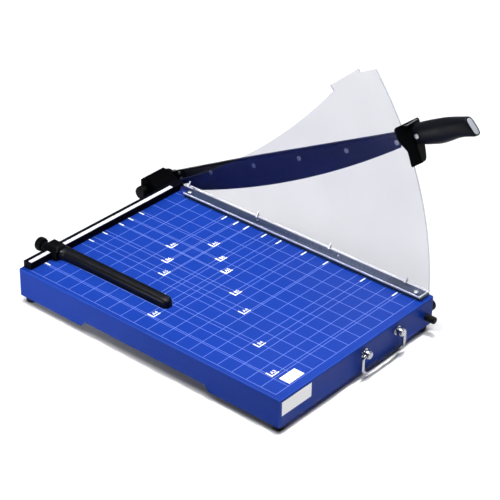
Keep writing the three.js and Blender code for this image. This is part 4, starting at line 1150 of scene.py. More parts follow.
@dataclass
class BoardPrint:
    """The printed grid, the paper formats and their tabs."""

    bench: Bench
    pitch: float = 25.0
    columns: int = 12
    rows: int = 18
    line_width: float = 0.75
    ink_depth: float = 0.08
    # Where lines cross, each kind has its own height as a share of the ink's depth.
    row_lift: float = 0.1
    along_height: float = 0.7
    across_height: float = 0.8
    tab_length: float = 12.0
    ruler_tab_length: float = 10.0
    tab_width: float = 2.2
    tab_x: float = -33.0
    tab_y: float = -5.0
    tab_lift: float = 0.03
    # A corner mark: its reach below and left of the corner, its arms and the name's middle
    mark_reach: float = 1.1
    mark_up: float = 10.5
    mark_across: float = 13.5
    mark_thickness: float = 0.6
    name_at: Pair = (8.2, 4.6)
    name_height: float = 5.6
    formats: tuple[PaperFormat, ...] = (
        PaperFormat("A6", 105, 148),
        PaperFormat("B6", 128, 182),
        PaperFormat("A5", 148, 210),
        PaperFormat("B5", 182, 257),
        PaperFormat("A4", 210, 297),
        PaperFormat("B4", 257, 364),
        PaperFormat("A3", 297, 420),
        PaperFormat("A6", 148, 105),
        PaperFormat("B6", 182, 128),
        PaperFormat("A5", 210, 148),
        PaperFormat("B5", 257, 182),
        PaperFormat("A4", 297, 210),
    )

    def build(self) -> None:
        """Print the grid, the format lines, the marks and the tabs."""
        self.grid()
        self.format_lines()
        self.tabs()
        self.marks()

    def grid(self) -> None:
        """Rule the square grid."""
        width = self.columns * self.pitch
        depth = self.rows * self.pitch
        start = self.bench.at(-self.pitch, -depth / 2, 0)
        size = (self.line_width, depth, self.ink_depth)
        step = (-self.pitch, 0, 0)
        columns = bar_row("grid_columns", self.columns + 1, start, step, size, PALE_INK)
        finished(columns, "base", PRINT_SLOT)
        start = self.bench.at(-self.pitch - width / 2, -self.pitch, self.ink_depth * self.row_lift)
        size = (width + self.line_width, self.line_width, self.ink_depth)
        rows = bar_row("grid_rows", self.rows, start, (0, -self.pitch, 0), size, PALE_INK)
        finished(rows, "base", PRINT_SLOT)

    def format_lines(self) -> None:
        """Rule one thin line for each format distance, as far as its longest mark."""
        bm = bmesh.new()
        half = self.line_width / 2
        top = self.ink_depth * self.along_height
        for distance in sorted({f.along for f in self.formats}):
            reach = max(f.across for f in self.formats if f.along == distance)
            low, high = (-reach, -distance - half), (-self.pitch, -distance + half)
            block(bm, self.bench.at(*low, 0), self.bench.at(*high, top))
        top = self.ink_depth * self.across_height
        for distance in sorted({f.across for f in self.formats}):
            reach = max(f.along for f in self.formats if f.across == distance)
            low, high = (-distance - half, -reach), (-distance + half, 0)
            block(bm, self.bench.at(*low, 0), self.bench.at(*high, top))
        finished(object_from(bm, "format_lines"), "base", PRINT_SLOT, PALE_INK)

    def tabs(self) -> None:
        """Stamp the white tabs along the cutting side and the ruler."""
        depth = self.ink_depth
        alongs = sorted({f.along for f in self.formats})
        acrosses = sorted({f.across for f in self.formats})
        for name, size, places in (
            (
                "cut_side_tabs",
                (self.tab_length, self.tab_width, depth),
                [(self.tab_x, -distance) for distance in alongs],
            ),
            (
                "ruler_side_tabs",
                (self.tab_width, self.ruler_tab_length, depth),
                [(-distance, self.tab_y) for distance in acrosses],
            ),
        ):
            bm = bmesh.new()
            half = Vector(size) * MM / 2
            block(bm, -half, half)
            stamp = object_from(bm, name + " stamp")
            spots = [self.bench.at(x, y, self.tab_lift) for x, y in places]
            finished(stamped(name, spots, stamp, WHITE_INK), "base", PRINT_SLOT)

    def marks(self) -> None:
        """Print the corner mark and the name of each format."""
        bm = bmesh.new()
        letters = []
        near, z = self.mark_reach, self.ink_depth
        for index, sheet in enumerate(self.formats):
            x, y = -sheet.across, -sheet.along
            for low, high in (
                ((x - near, y - near), (x + near, y + self.mark_up)),
                ((x + near, y - near), (x + self.mark_across, y + self.mark_thickness)),
            ):
                block(bm, self.bench.at(*low, -z), self.bench.at(*high, z))
            place = self.bench.at(x + self.name_at[0], y + self.name_at[1], z)
            letters.append(text_mesh(sheet.name, self.name_height, place, f"format_name_{index}"))
        finished(object_from(bm, "format_marks"), "base", PRINT_SLOT, WHITE_INK)
        finished(joined(letters, "format_names"), "base", PRINT_SLOT, WHITE_INK)


@dataclass(frozen=True)
class Division:
    """One kind of line on the scale."""

    name: str
    step: float
    length: float
    width: float


@dataclass
class Ruler:
    """The black ruler along the back edge and its white scale."""

    cad: CadParts
    bench: Bench
    edge: Softening = field(default_factory=lambda: Softening(0.5, 2))
    plug_edge: Softening = field(default_factory=lambda: Softening(0.3, 2))
    left: float = -325.0
    right: float = -6.0
    depth: float = 14.8
    height: float = 10.5
    groove_depth: float = 2.2
    groove_height: float = 6.4
    end_plug: float = 2.5
    plug_inset: float = 0.3
    plug_left_inset: float = 0.2
    plug_back_inset: float = 0.1
    strip_left: float = -322.0
    strip_right: float = -29.0
    strip_front: float = 1.7
    strip_width: float = 6.5
    strip_top: float = 10.58
    strip_sunk: float = 0.3
    first_mark: float = -30.0
    divisions: tuple[Division, ...] = (
        Division("scale_millimetres", 1.0, 1.6, 0.16),
        Division("scale_fives", 5.0, 2.4, 0.2),
        Division("scale_centimetres", 10.0, 3.3, 0.25),
    )
    division_inset: float = 0.2
    ink_depth: float = 0.06
    number_height: float = 2.3
    number_reach: float = 4.9
    number_lift: float = 0.04
    centimetres: range = range(4, 32)

    def build(self) -> None:
        """Make the bar and its strip and print the divisions and numbers."""
        self.bar()
        self.strip()
        self.scale()

    def bar(self) -> None:
        """Extrude the bar with the groove in its back, and close the groove's left end."""
        slot = self.cad.slots["ruler_bar"]
        low = (self.height - self.groove_height) / 2
        high = self.height - low
        inner = self.depth - self.groove_depth
        outline = [
            (0, 0), (self.depth, 0), (self.depth, low), (inner, low),
            (inner, high), (self.depth, high), (self.depth, self.height), (0, self.height),
        ]
        bm = prism(outline, self.left, self.right, self.bench.seen_along_x)
        bar = self.edge.rounded(bm, "ruler_bar_soft")
        finished(bar, "base", slot, BLACK_BAR, ["ruler_bar"])
        inset, back = self.plug_inset, self.depth - self.plug_back_inset
        top = self.height - inset
        outline = [(inset, inset), (back, inset), (back, top), (inset, top)]
        left = self.left + self.plug_left_inset
        bm = prism(outline, left, self.left + self.end_plug, self.bench.seen_along_x)
        finished(self.plug_edge.rounded(bm, "ruler_end_plug"), "base", slot, BLACK_BAR)

    def strip(self) -> None:
        """Lay the white strip on the bar."""
        bm = bmesh.new()
        low = self.bench.at(self.strip_left, self.strip_front, self.height - self.strip_sunk)
        back = self.strip_front + self.strip_width
        block(bm, low, self.bench.at(self.strip_right, back, self.strip_top))
        film = object_from(bm, "scale_strip_film")
        finished(film, "base", PRINT_SLOT, STRIP, ["scale_strip"])

    def scale(self) -> None:
        """Print the divisions and the numbers."""
        for line in self.divisions:
            count = int((self.first_mark - self.strip_left) / line.step) + 1
            y = self.strip_front + line.length / 2 + self.division_inset
            start = self.bench.at(self.first_mark, y, self.strip_top)
            size = (line.width, line.length, self.ink_depth)
            row = bar_row(line.name, count, start, (-line.step, 0, 0), size, DARK_INK)
            finished(row, "base", PRINT_SLOT)
        y, z = self.strip_front + self.number_reach, self.strip_top + self.number_lift
        numbers = [
            text_mesh(str(mark), self.number_height, self.bench.at(-mark * 10, y, z), f"number_{mark}")
            for mark in self.centimetres
        ]
        finished(joined(numbers, "scale_numbers"), "base", PRINT_SLOT, DARK_INK)


@dataclass
class PivotBlock:
    """The casting behind the corner that carries the arm's pivot."""

    cad: CadParts
    casting_edge: Softening = field(default_factory=lambda: Softening(1.2, 3, 30.0, 50.0))
    cap_edge: Softening = field(default_factory=lambda: Softening(0.6, 2, 30.0))

    def build(self) -> None:
        """Make the casting and the turned cap."""
        self.cad.soften("pivot_housing", "pivot_casting", self.casting_edge, CASTING)
        self.cad.soften("shaft_cap", "pivot_cap", self.cap_edge, BLACK_PLASTIC)


@dataclass
class CuttingEdge:
    """The bed rail, the press bar, its springs and the clear guard that stands on it."""

    cad: CadParts
    bench: Bench
    bar_edge: Softening = field(default_factory=lambda: Softening(0.4, 2))
    guard_edge: Softening = field(default_factory=lambda: Softening(radius=0.0, crease_degrees=30.0))
    spring_edge: Softening = field(default_factory=lambda: Softening(radius=0.0, crease_degrees=80.0))
    plate_inner: float = -4.6
    flange_top: float = 7.6
    flange_left: float = -26.48
    flange_front: float = -456.58
    flange_corner: float = -17.0
    lit_width: float = 0.7
    lit_height: float = 2.3
    lit_proud: float = 0.06
    bond_size: float = 1.1
    bond_overlap: float = 0.25
    bond_sunk: float = 0.1
    bond_front: float = -456.0
    bond_back: float = -6.0
    gusset_back: float = -10.0
    gusset_pitch: float = 136.0
    gusset_count: int = 4
    gusset_width: float = 6.0
    gusset_height: float = 8.0
    gusset_thickness: float = 2.4
    gusset_skin: float = 0.1
    gusset_rim: float = 0.4
    seat: float = 0.05
    press_travel: float = 2.0

    def build(self) -> None:
        """Make the rail, the press bar and the guard."""
        self.cad.soften("bed_rail", "bed_rail_soft", self.bar_edge, BLACK_BAR)
        self.cad.soften("press_bar", "press_bar_soft", self.bar_edge, SLATE_BAR)
        self.guard()
        self.bond()
        self.lit_edge()
        self.gussets()
        self.springs()

    def guard(self) -> None:
        """Make the clear guard and mark its sawn edges and gussets."""
        guard = self.cad.soften("guard", "clear_guard", self.guard_edge, CLEAR)
        left_of_plate, over_flange = 0.2, 0.3
        # A face looks along an axis when its normal's part along it reaches this.
        facing = 0.5
        inner = self.bench.at(self.plate_inner - left_of_plate, 0, 0).x
        top = self.bench.at(0, 0, self.flange_top + over_flange).z

        def is_edge(face: bpy.types.MeshPolygon) -> bool:
            """Tell a sawn edge or a gusset from a clear face."""
            if face.center.x < inner:
                return abs(face.normal.z) < facing or face.center.z > top
            return abs(face.normal.x) < facing

        mark_edges(guard.data, is_edge)

    def moulded(self, piece: bpy.types.Object) -> None:
        """Finish a detail of the guard near-white, as a painted highlight of lit acrylic."""
        finished(piece, "press", self.cad.slots["guard"], PAINTED_HIGHLIGHT_ACRYLIC)

    def bond(self) -> None:
        """Run the bond along the plate's foot; its near-white colour is a painted highlight."""
        inner, size = self.plate_inner + self.bond_overlap, self.bond_size
        base = self.flange_top - self.bond_sunk
        outline = [(inner, base), (inner - size, base), (inner, self.flange_top + size)]
        strip = prism(outline, self.bond_front, self.bond_back, self.bench.seen_along_y)
        self.moulded(object_from(strip, "guard_bond"))

    def lit_edge(self) -> None:
        """Paint a highlight on the flange's cut edge on the board's side and in front: near-white
        strips just proud of its faces.
        """
        top = self.flange_top + self.lit_proud
        low = top - self.lit_height
        side, end = (
            [(outer, low), (outer + self.lit_width, low), (outer + self.lit_width, top), (outer, top)]
            for outer in (self.flange_left, self.flange_front)
        )
        front = self.flange_front + self.lit_width
        strips = [
            prism(side, front, self.flange_corner, self.bench.seen_along_y),
            prism(end, self.flange_left, self.plate_inner, self.bench.seen_along_x),
        ]
        parts = [object_from(strip, "lit strip") for strip in strips]
        self.moulded(joined(parts, "guard_lit_edge"))

    def gussets(self) -> None:
        """Paint the heart of each moulded gusset near-white, as a painted highlight."""
        right = self.plate_inner + self.seat
        base = self.flange_top + self.seat
        left = right - self.gusset_width + self.gusset_rim
        outline = [(left, base), (right, base), (right, base + self.gusset_height - self.gusset_rim)]
        hearts = []
        for index in range(self.gusset_count):
            back = self.gusset_back - index * self.gusset_pitch - self.gusset_skin
            front = back - self.gusset_thickness + 2 * self.gusset_skin
            heart = prism(outline, front, back, self.bench.seen_along_y)
            hearts.append(object_from(heart, f"gusset heart {index}"))
        self.moulded(joined(hearts, "guard_gussets"))

    def springs(self) -> None:
        """Stand a smooth copy of each press spring in its node's place, on a mesh of its own."""
        for name in ("front_press_spring", "rear_press_spring"):
            spring = self.cad.soften(name, f"{name}_wire", self.spring_edge, SPRING)
            low = min(spring.data.vertices, key=lambda corner: corner.co.z).co
            tuple(low)
            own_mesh(spring)


@dataclass(frozen=True)
class CrossHead:
    """A low screw head with a cross-shaped recess, whose sizes are shares of its own."""

    radius: float
    height: float
    slot_share: float = 0.16
    reach_share: float = 0.55
    floor_share: float = 0.25
    flat_share: float = 0.9
    edge_share: float = 0.55

    def build(self, facing: Vector) -> bpy.types.Object:
        """Make the head.

        Args:
            facing: the way that it looks.

        Returns:
            The head, with its own origin under its middle.
        """
        bm = bmesh.new()
        arm = self.radius * self.slot_share
        reach = self.radius * self.reach_share
        inner = [
            (arm, arm), (arm, reach), (-arm, reach), (-arm, arm), (-reach, arm), (-reach, -arm),
            (-arm, -arm), (-arm, -reach), (arm, -reach), (arm, -arm), (reach, -arm), (reach, arm),
        ]
        angles = [math.atan2(y, x) for x, y in inner]
        outer = [(self.radius * math.cos(a), self.radius * math.sin(a)) for a in angles]
        flat = [(x * self.flat_share, y * self.flat_share) for x, y in outer]
        levels = (
            (inner, self.height * self.floor_share),
            (inner, self.height),
            (flat, self.height),
            (outer, self.height * self.edge_share),
            (outer, 0.0),
        )
        rings = [[bm.verts.new(Vector((x, y, z)) * MM) for x, y in points] for points, z in levels]
        loft(bm, rings)
        aim = Vector((0, 0, 1)).rotation_difference(facing).to_matrix()
        bmesh.ops.rotate(bm, cent=(0, 0, 0), matrix=aim, verts=bm.verts)
        return object_from(bm, "screw head stamp")


@dataclass
class BladeArm:
    """The swinging arm: bar, blade, screws and grip."""

    cad: CadParts
    line: ArmLine
    bar_edge: Softening = field(default_factory=lambda: Softening(0.5, 2))
    blade_edge: Softening = field(default_factory=lambda: Softening(radius=0.0, crease_degrees=10.0))
    head: CrossHead = CrossHead(3.7, 0.22)
    head_x: float = 0.3
    head_reaches: tuple[float, ...] = (101, 195, 289, 383, 477)
    head_up: float = -0.5
    grip_centre_x: float = 6.3
    grip_crease: float = 40.0
    grip_rings: int = 56
    grip_sides: int = 56
    # The handle is nearly oval in the hand and squarer at its end.
    hand_power: float = 0.9
    end_power_drop: float = 0.3
    slant_centre_up: float = 5.5
    slant_start: float = 560.0
    slant_power: float = 1.5
    end_slant: float = 0.32
    cap_inset_across: float = 2.2
    cap_inset_up: float = 1.3
    cap_gap: float = 0.1
    # Rings that end the grip: how much narrower and lower they are, and how far past its end
    grip_lip: tuple[float, float, float] = (0.7, 0.5, 0.4)
    pocket_levels: Pair = (0.4, -1.0)
    # Rings of the domed cap: inset and level
    cap_dome: tuple[Pair, ...] = ((0.0, -0.9), (0.0, 0.2), (0.3, 0.5), (1.0, 0.7), (2.6, 0.85))
    # Stations of the grip: reach from the pivot, centre height, half height and half width
    grip_stations: tuple[tuple[float, float, float, float], ...] = (
        (509.5, 5.4, 13.4, 10.4),
        (515, 5.4, 14.6, 11.4),
        (522, 5.4, 15.3, 12.0),
        (530, 5.1, 16.0, 12.5),
        (540, 4.8, 16.6, 12.6),
        (550, 4.5, 17.0, 12.6),
        (560, 4.8, 16.7, 12.4),
        (570, 5.3, 15.8, 12.0),
        (580, 5.7, 14.5, 11.2),
        (590, 5.3, 13.7, 10.2),
        (598, 4.4, 13.6, 9.2),
        (604, 3.7, 13.7, 8.2),
        (607, 3.6, 13.0, 7.2),
    )

    def build(self) -> None:
        """Make every piece of the arm."""
        self.cad.soften("arm_bar", "arm_bar_soft", self.bar_edge, BLACK_STEEL)
        self.cad.soften("blade", "curved_blade", self.blade_edge, BLUED_STEEL)
        self.grip()
        self.screw_heads()

    def screw_heads(self) -> None:
        """Stamp the cross-recessed heads along the blade, looking at the board."""
        stamp = self.head.build(Vector((-1, 0, 0)))
        places = [self.line.at(self.head_x, reach, self.head_up) for reach in self.head_reaches]
        heads = stamped("blade_screw_heads", places, stamp, STEEL)
        finished(heads, "blade_arm", "bright_steel")

    def grip(self) -> None:
        """Loft the grip through its stations and set the grey cap into its slanted end."""
        start, end = self.grip_stations[0][0], self.grip_stations[-1][0]
        bm = bmesh.new()
        rings = [
            self.grip_ring(bm, start + (end - start) * step / self.grip_rings)
            for step in range(self.grip_rings + 1)
        ]
        rings.append(self.grip_ring(bm, end, *self.grip_lip))
        for level in self.pocket_levels:
            rings.append(
                self.grip_ring(bm, end, self.cap_inset_across, self.cap_inset_up, level)
            )
        loft(bm, rings)
        handle = object_from(bm, "grip_handle", self.grip_crease)
        finished(handle, "blade_arm", "grip_plastic", GRIP_PLASTIC, ["grip"])
        self.end_cap(end)

    def end_cap(self, end: float) -> None:
        """Make the domed grey cap."""
        bm = bmesh.new()
        across, up = self.cap_inset_across + self.cap_gap, self.cap_inset_up + self.cap_gap
        rings = [
            self.grip_ring(bm, end, across + inset, up + inset, level)
            for inset, level in self.cap_dome
        ]
        loft(bm, rings)
        cap = object_from(bm, "grip_cap_domed", self.grip_crease)
        finished(cap, "blade_arm", "grey_plastic", GREY_PLASTIC, ["grip_end_cap"])

    def grip_ring(
        self,
        bm: bmesh.types.BMesh,
        reach: float,
        inset_across: float = 0.0,
        inset_up: float = 0.0,
        beyond: float = 0.0,
    ) -> Ring:
        """Add one ring of the grip.

        Args:
            bm: the mesh that gets the ring.
            reach: how far from the pivot its middle lies, in millimetres.
            inset_across: how much narrower it is each side, in millimetres.
            inset_up: how much lower it is each side, in millimetres.
            beyond: how far past its reach it lies, in millimetres.

        Returns:
            The ring's corners.
        """
        centre, height, width = (
            curve_value([(station[0], station[i]) for station in self.grip_stations], reach)
            for i in (1, 2, 3)
        )
        last = self.grip_stations[-1][0]
        share = max(0.0, (reach - self.slant_start) / (last - self.slant_start))
        power = self.hand_power - self.end_power_drop * share**2
        ring = []
        for side in range(self.grip_sides):
            angle = 2 * math.pi * side / self.grip_sides
            across = rounded_share(math.cos(angle), power) * (width - inset_across)
            up = rounded_share(math.sin(angle), power) * (height - inset_up)
            slant = self.end_slant * share**self.slant_power
            lean = slant * (centre + up - self.slant_centre_up)
            place = self.line.at(self.grip_centre_x + across, reach + beyond - lean, centre + up)
            ring.append(bm.verts.new(place))
        return ring


@dataclass
class HandGuard:
    """The shield in front of the fingers: a ridged plate with a ribbed thumb ledge."""

    cad: CadParts
    line: ArmLine
    edge: Softening = field(default_factory=lambda: Softening(0.9, 3, 25.0, 12.0))
    ledge_edge: Softening = field(default_factory=lambda: Softening(0.5, 2, 30.0))
    inner: float = 507.5
    thickness: float = 6.0
    ridge_x: float = -3.0
    left_slope: float = 0.3
    right_slope: float = 0.2
    top_left: Pair = (-28.5, 26.5)
    top_right: Pair = (23.5, 24.5)
    waist_left: Pair = (-18.5, -10)
    waist_right: Pair = (20, -10)
    waist_pull: Pair = (-27.5, 4)
    foot_left: Pair = (-20.5, -32.3)
    foot_right: Pair = (9, -32.3)
    corner: float = 5.0
    foot_corner: float = 2.5
    shoulder_drop: float = 11.0
    ledge_left: float = -14.0
    ledge_right: float = 15.0
    ledge_root: float = 1.0
    ledge_reach: float = 8.5
    ledge_thickness: float = 2.6
    rib_radius: float = 0.7
    rib_inset: float = 2.5
    rib_end_share: float = 0.7
    rib_end: float = 0.4
    rib_sides: int = 14
    # Where the ribs lie between the ledge's root and its rim
    rib_shares: Pair = (0.3, 0.75)

    def build(self) -> None:
        """Make the plate, the ledge and its ribs."""
        self.plate()
        self.ledge()
        self.ribs()

    def outline(self) -> list[Pair]:
        """Give the plate's outline as seen along the arm."""
        (left, top), (right, high) = self.top_left, self.top_right
        (foot, low), (toe, _) = self.foot_left, self.foot_right
        waist, level = self.waist_left
        side, _ = self.waist_right
        points = [(left + self.corner, top)]
        for control, end in (
            ((left, top), (left, top - self.corner)),
            ((left, top - self.shoulder_drop), (left, top - self.shoulder_drop)),
            (self.waist_pull, (waist, level)),
            ((waist, level - self.corner), (foot, low + self.foot_corner)),
            ((foot, low), (foot + self.foot_corner, low)),
        ):
            points += bend(points[-1], control, end)
        points.append((toe - self.corner, low))
        for control, end in (
            ((toe, low), (toe + self.corner / 2, low + self.corner)),
            ((side, level), (right, high - self.corner)),
            ((right, high), (right - self.corner, high)),
        ):
            points += bend(points[-1], control, end)
        return points

    def plate(self) -> None:
        """Raise the plate, then lean its front back to both sides of the ridge."""
        front = self.inner + self.thickness
        hair = 0.001 * MM
        slack = 0.1
        bm = prism(self.outline(), self.inner, front, self.line.seen_along_arm)
        ridge = self.line.at(self.ridge_x, 0, 0)
        everything = [*bm.verts, *bm.edges, *bm.faces]
        bmesh.ops.bisect_plane(
            bm, geom=everything, plane_co=ridge, plane_no=(1, 0, 0), dist=hair
        )
        pivot = self.line.at(0, 0, 0)
        along = (self.line.at(0, 1, 0) - pivot).normalized()
        for vertex in bm.verts:
            reach = (vertex.co - pivot).dot(along) / MM
            if reach < front - slack:
                continue
            aside = (vertex.co.x - ridge.x) / MM
            slope = self.right_slope if aside > 0 else self.left_slope
            vertex.co -= along * abs(aside) * slope * MM
        plate = self.edge.rounded(bm, "hand_guard_plate")
        slot = self.cad.slots["hand_guard"]
        finished(plate, "blade_arm", slot, BLACK_PLASTIC, ["hand_guard"])

    def ledge(self) -> None:
        """Make the thumb ledge."""
        top = self.top_right[1]
        low, middle = top - self.ledge_thickness, top - self.ledge_thickness / 2
        root, reach = self.inner + self.ledge_root, self.inner + self.ledge_reach
        outline = [(root, top), (reach, middle), (reach, low), (root, low)]
        bm = prism(outline, self.ledge_left, self.ledge_right, self.line.seen_along_x)
        ledge = self.ledge_edge.rounded(bm, "hand_guard_ledge")
        finished(ledge, "blade_arm", self.cad.slots["hand_guard"], BLACK_PLASTIC)

    def ribs(self) -> None:
        """Make the two ribs moulded on the ledge, grey as a painted highlight."""
        top, radius = self.top_right[1], self.rib_radius
        length = self.ledge_right - self.ledge_left - 2 * self.rib_inset
        narrow = radius * self.rib_end_share
        profile = [
            (0, 0), (narrow, 0), (radius, self.rib_end), (radius, length - self.rib_end),
            (narrow, length), (0, length),
        ]
        depth = self.ledge_reach - self.ledge_root
        for index, share in enumerate(self.rib_shares):
            drop = self.ledge_thickness / 2 * share
            reach = self.inner + self.ledge_root + depth * share
            start = self.line.at(self.ledge_left + self.rib_inset, reach, top - drop)
            turned = lathe(profile, start, Axis.X, self.rib_sides)
            rib = object_from(turned, f"ledge_rib_{index + 1}")
            finished(rib, "blade_arm", self.cad.slots["hand_guard"], PAINTED_HIGHLIGHT_PLASTIC)


@dataclass
class PaperStop:
    """The sliding stop: block, bar and clamp knob."""

    cad: CadParts
    bench: Bench
    block_edge: Softening = field(default_factory=lambda: Softening(1.3, 3, 30.0))
    block_left: float = -285.5
    block_right: float = -263.0
    block_top: float = 18.6
    block_front: float = -10.0
    block_back: float = 19.8
    block_chamfer: float = 4.6
    side_chamfer: float = 7.0
    channel_front: float = -0.3
    channel_back: float = 15.1
    channel_top: float = 10.9
    lift: float = 0.4
    bar_left: float = -274.0
    bar_right: float = -256.5
    bar_height: float = 13.6
    bar_root: float = -0.9
    bar_tip: float = -212.0
    bar_crease: float = 50.0
    bar_rings: int = 64
    arch_steps: int = 18
    # The arch is squarer than an oval, and springs from this share of the bar's height.
    arch_power: float = 0.7
    arch_share: float = 0.45
    tip_round: float = 11.0
    # The tip's own width and height, as shares of the bar's
    tip_width: float = 0.28
    tip_height: float = 0.55
    heel_round: float = 7.0
    heel_share: float = 0.9
    shoulder: float = 7.0
    shoulder_share: float = 0.7
    shoulder_rise: float = 0.5
    # How much the bar swells towards the block on its left, and how fast that fades
    swell: float = 2.4
    swell_right_share: float = 0.3
    swell_length: float = 45.0
    knob_x: float = -271.0
    knob_z: float = 5.25
    knob_ribs: int = 16
    rib_steps: int = 6
    knob_crease: float = 38.0
    # The knob's outline: distance behind the ruler's face, radius and rib depth
    knob_profile: tuple[Point, ...] = (
        (19.9, 6.6, 0.0), (29.6, 6.6, 0.0), (30.0, 7.2, 0.0), (30.0, 8.8, 0.0), (30.8, 9.6, 0.2),
        (31.6, 9.9, 0.5), (38.4, 9.9, 0.5), (39.2, 9.6, 0.2), (40.0, 8.7, 0.0), (40.0, 7.6, 0.0),
        (39.2, 7.0, 0.0), (39.2, 2.0, 0.0),
    )

    def build(self) -> None:
        """Make the block, the bar and the knob."""
        self.block()
        self.bar()
        self.knob()

    def block(self) -> None:
        """Extrude the saddle over the ruler."""
        chamfer, top = self.block_chamfer, self.block_top
        outline = [
            (self.block_front, self.lift), (self.channel_front, self.lift),
            (self.channel_front, self.channel_top), (self.channel_back, self.channel_top),
            (self.channel_back, self.lift), (self.block_back, self.lift),
            (self.block_back, top - chamfer), (self.block_back - chamfer, top),
            (self.block_front + chamfer, top), (self.block_front, top - chamfer),
        ]
        bm = prism(outline, self.block_left, self.block_right, self.bench.seen_along_x)
        # The top is narrower than the saddle: its left side leans in above the chamfer.
        corner = self.bench.at(self.block_left, 0, top)
        hair = 0.01 * MM
        for vertex in bm.verts:
            if abs(vertex.co.x - corner.x) < hair and abs(vertex.co.z - corner.z) < hair:
                vertex.co.x += self.side_chamfer * MM
        saddle = self.block_edge.rounded(bm, "stop_block_soft")
        slot = self.cad.slots["stop_block"]
        finished(saddle, "paper_stop", slot, BLACK_PLASTIC, ["stop_block"])

    def bar(self) -> None:
        """Loft the arched bar: a shoulder swells out of the block and the tip is rounded."""
        bm = bmesh.new()
        rings = []
        for step in range(self.bar_rings + 1):
            # Rings crowd towards both ends, where the form turns fastest.
            eased = 0.5 - 0.5 * math.cos(math.pi * step / self.bar_rings)
            y = self.bar_root + (self.bar_tip - self.bar_root) * eased
            rings.append([bm.verts.new(self.bench.at(x, y, z)) for x, z in self.bar_section(y)])
        loft(bm, rings)
        piece = object_from(bm, "stop_bar_arched", self.bar_crease)
        slot = self.cad.slots["stop_bar"]
        finished(piece, "paper_stop", slot, HANDLED_PLASTIC, ["stop_bar"])

    def bar_section(self, y: float) -> list[Pair]:
        """Give the bar's outline at one place along it.

        Args:
            y: the place along the bar, in bench millimetres.

        Returns:
            X and Z pairs, round from the lower right corner.
        """
        fade = math.exp(-max(0.0, self.block_front - y) / self.swell_length)
        fullness = 1 - quarter_round(1 - (y - self.bar_tip) / self.tip_round)
        bulge = quarter_round((y - self.block_front + self.shoulder) / self.shoulder)
        tuck = quarter_round((y - self.bar_root + self.heel_round) / self.heel_round)
        middle = (self.bar_left + self.bar_right) / 2
        half = (self.bar_right - self.bar_left) / 2
        half *= self.tip_width + (1 - self.tip_width) * fullness
        swell = self.swell * fade
        left = middle - half - swell - self.shoulder * bulge * self.shoulder_share
        right = middle + half + swell * self.swell_right_share
        right -= tuck * self.heel_round * self.heel_share
        height = self.bar_height * (self.tip_height + (1 - self.tip_height) * fullness)
        rise = height + self.shoulder_rise * bulge
        spring = self.lift + rise * self.arch_share
        outline = [(right, self.lift), (right, spring)]
        for step in range(1, self.arch_steps):
            angle = math.pi * step / self.arch_steps
            across = rounded_share(math.cos(angle), self.arch_power)
            up = rounded_share(math.sin(angle), self.arch_power)
            x = (left + right) / 2 + (right - left) / 2 * across
            outline.append((x, spring + rise * (1 - self.arch_share) * up))
        return outline + [(left, spring), (left, self.lift)]

    def knob(self) -> None:
        """Loft the ribbed clamp knob and its neck."""
        bm = bmesh.new()
        sides = self.knob_ribs * self.rib_steps
        rings = []
        for y, radius, rib in self.knob_profile:
            ring = []
            for side in range(sides):
                angle = 2 * math.pi * side / sides
                reach = radius + rib * math.cos(self.knob_ribs * angle)
                x = self.knob_x + reach * math.cos(angle)
                z = self.knob_z + reach * math.sin(angle)
                ring.append(bm.verts.new(self.bench.at(x, y, z)))
            rings.append(ring)
        loft(bm, rings)
        knob = object_from(bm, "stop_knob_ribbed", self.knob_crease)
        slot = self.cad.slots["stop_knob"]
        finished(knob, "clamp_knob", slot, BLACK_PLASTIC, ["stop_knob"])


